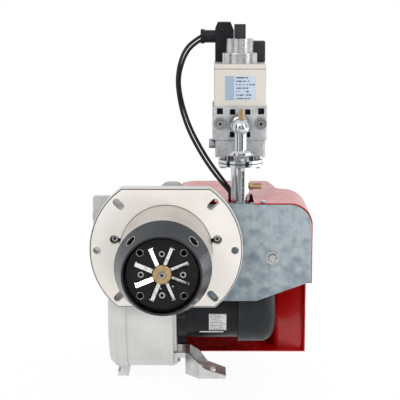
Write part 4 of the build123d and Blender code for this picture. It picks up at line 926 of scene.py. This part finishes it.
def makeFloor(s):
    # pale near the burner, where it keeps the shadow, and white further out
    mesh = bpy.data.meshes.new("floor")
    half = s["floorSize"] / 2
    z = s["floorZ"]
    corners = [(-half, -half, z), (half, -half, z), (half, half, z), (-half, half, z)]
    mesh.from_pydata(corners, [], [(0, 1, 2, 3)])
    floor = bpy.data.objects.new("floor", mesh)
    scene.collection.objects.link(floor)
    mat, tree, shader, coords = startMaterial("paleFloor", s["floorColour"], 0.0, 0.9)
    shader.inputs["Specular IOR Level"].default_value = 0.0
    glow = tree.nodes.new("ShaderNodeEmission")
    blend = tree.nodes.new("ShaderNodeMixShader")
    away = tree.nodes.new("ShaderNodeVectorMath")
    away.operation = "LENGTH"
    tree.links.new(stretched(tree, coords, (1, 1, 0)), away.inputs[0])
    far = ranged(tree, away.outputs["Value"], s["nearGlow"], 1.0, *s["clearRadius"])
    tree.links.new(mathNode(tree, "MULTIPLY", seenRays(tree), far), blend.inputs["Fac"])
    tree.links.new(shader.outputs["BSDF"], blend.inputs[1])
    tree.links.new(glow.outputs["Emission"], blend.inputs[2])
    tree.links.new(blend.outputs["Shader"], tree.nodes["Material Output"].inputs["Surface"])
    mesh.materials.append(mat)


def makeLamps(s):
    for name, place, size, power in s["lamps"]:
        data = bpy.data.lights.new(name, "AREA")
        data.shape = "RECTANGLE"
        data.size, data.size_y = size
        data.energy = power
        lamp = bpy.data.objects.new(name, data)
        lamp.location = place
        aim = Vector(s["lampAim"]) - Vector(place)
        lamp.rotation_euler = aim.to_track_quat("-Z", "Y").to_euler()
        scene.collection.objects.link(lamp)


def makeCard(name, place, size, turn, mat):
    mesh = bpy.data.meshes.new("card")
    w = size[0] / 2
    h = size[1] / 2
    mesh.from_pydata([(-w, 0, -h), (w, 0, -h), (w, 0, h), (-w, 0, h)], [], [(0, 1, 2, 3)])
    mesh.transform(Matrix.Translation(place) @ Matrix.Rotation(math.radians(turn), 4, "Z"))
    mesh.materials.append(mat)
    card = bpy.data.objects.new(name, mesh)
    scene.collection.objects.link(card)
    card.visible_camera = False
    card.visible_diffuse = False
    card.visible_shadow = False


def makeCards(s):
    dark = startMaterial("darkCard", s["darkColour"], 0.0, 1.0)[0]
    middle = Vector(s["cardCentre"])
    for index, angle in enumerate(s["cardAngles"]):
        turn = math.radians(angle)
        place = middle + Vector((math.sin(turn), -math.cos(turn), 0)) * s["cardReach"]
        makeCard("darkCard" + str(index), place, s["cardSize"], angle, dark)

    bright, _, shader, _ = startMaterial("brightCard", (0.8, 0.8, 0.8, 1), 0.0, 0.5)
    shader.inputs["Emission Color"].default_value = s["brightColour"]
    shader.inputs["Emission Strength"].default_value = s["brightPower"]
    for index, (place, size, angle) in enumerate(s["brightCards"]):
        makeCard("brightCard" + str(index), place, size, angle, bright)

    # uneven panel low in front, so that metal that faces the viewer shows light and dark
    uneven, tree, shader, coords = startMaterial("unevenCard", s["darkColour"], 0.0, 0.5)
    shader.inputs["Emission Color"].default_value = (1, 1, 1, 1)
    patches = noise(tree, stretched(tree, coords, (14, 1, 9)), 1.0)
    tree.links.new(ranged(tree, patches, *s["frontGlow"]), shader.inputs["Emission Strength"])
    place, size, angle = s["frontCard"]
    makeCard("frontCard0", place, size, angle, uneven)


makeWorld(studioSettings)
makeFloor(studioSettings)
makeLamps(studioSettings)
makeCards(studioSettings)
print("studio set")
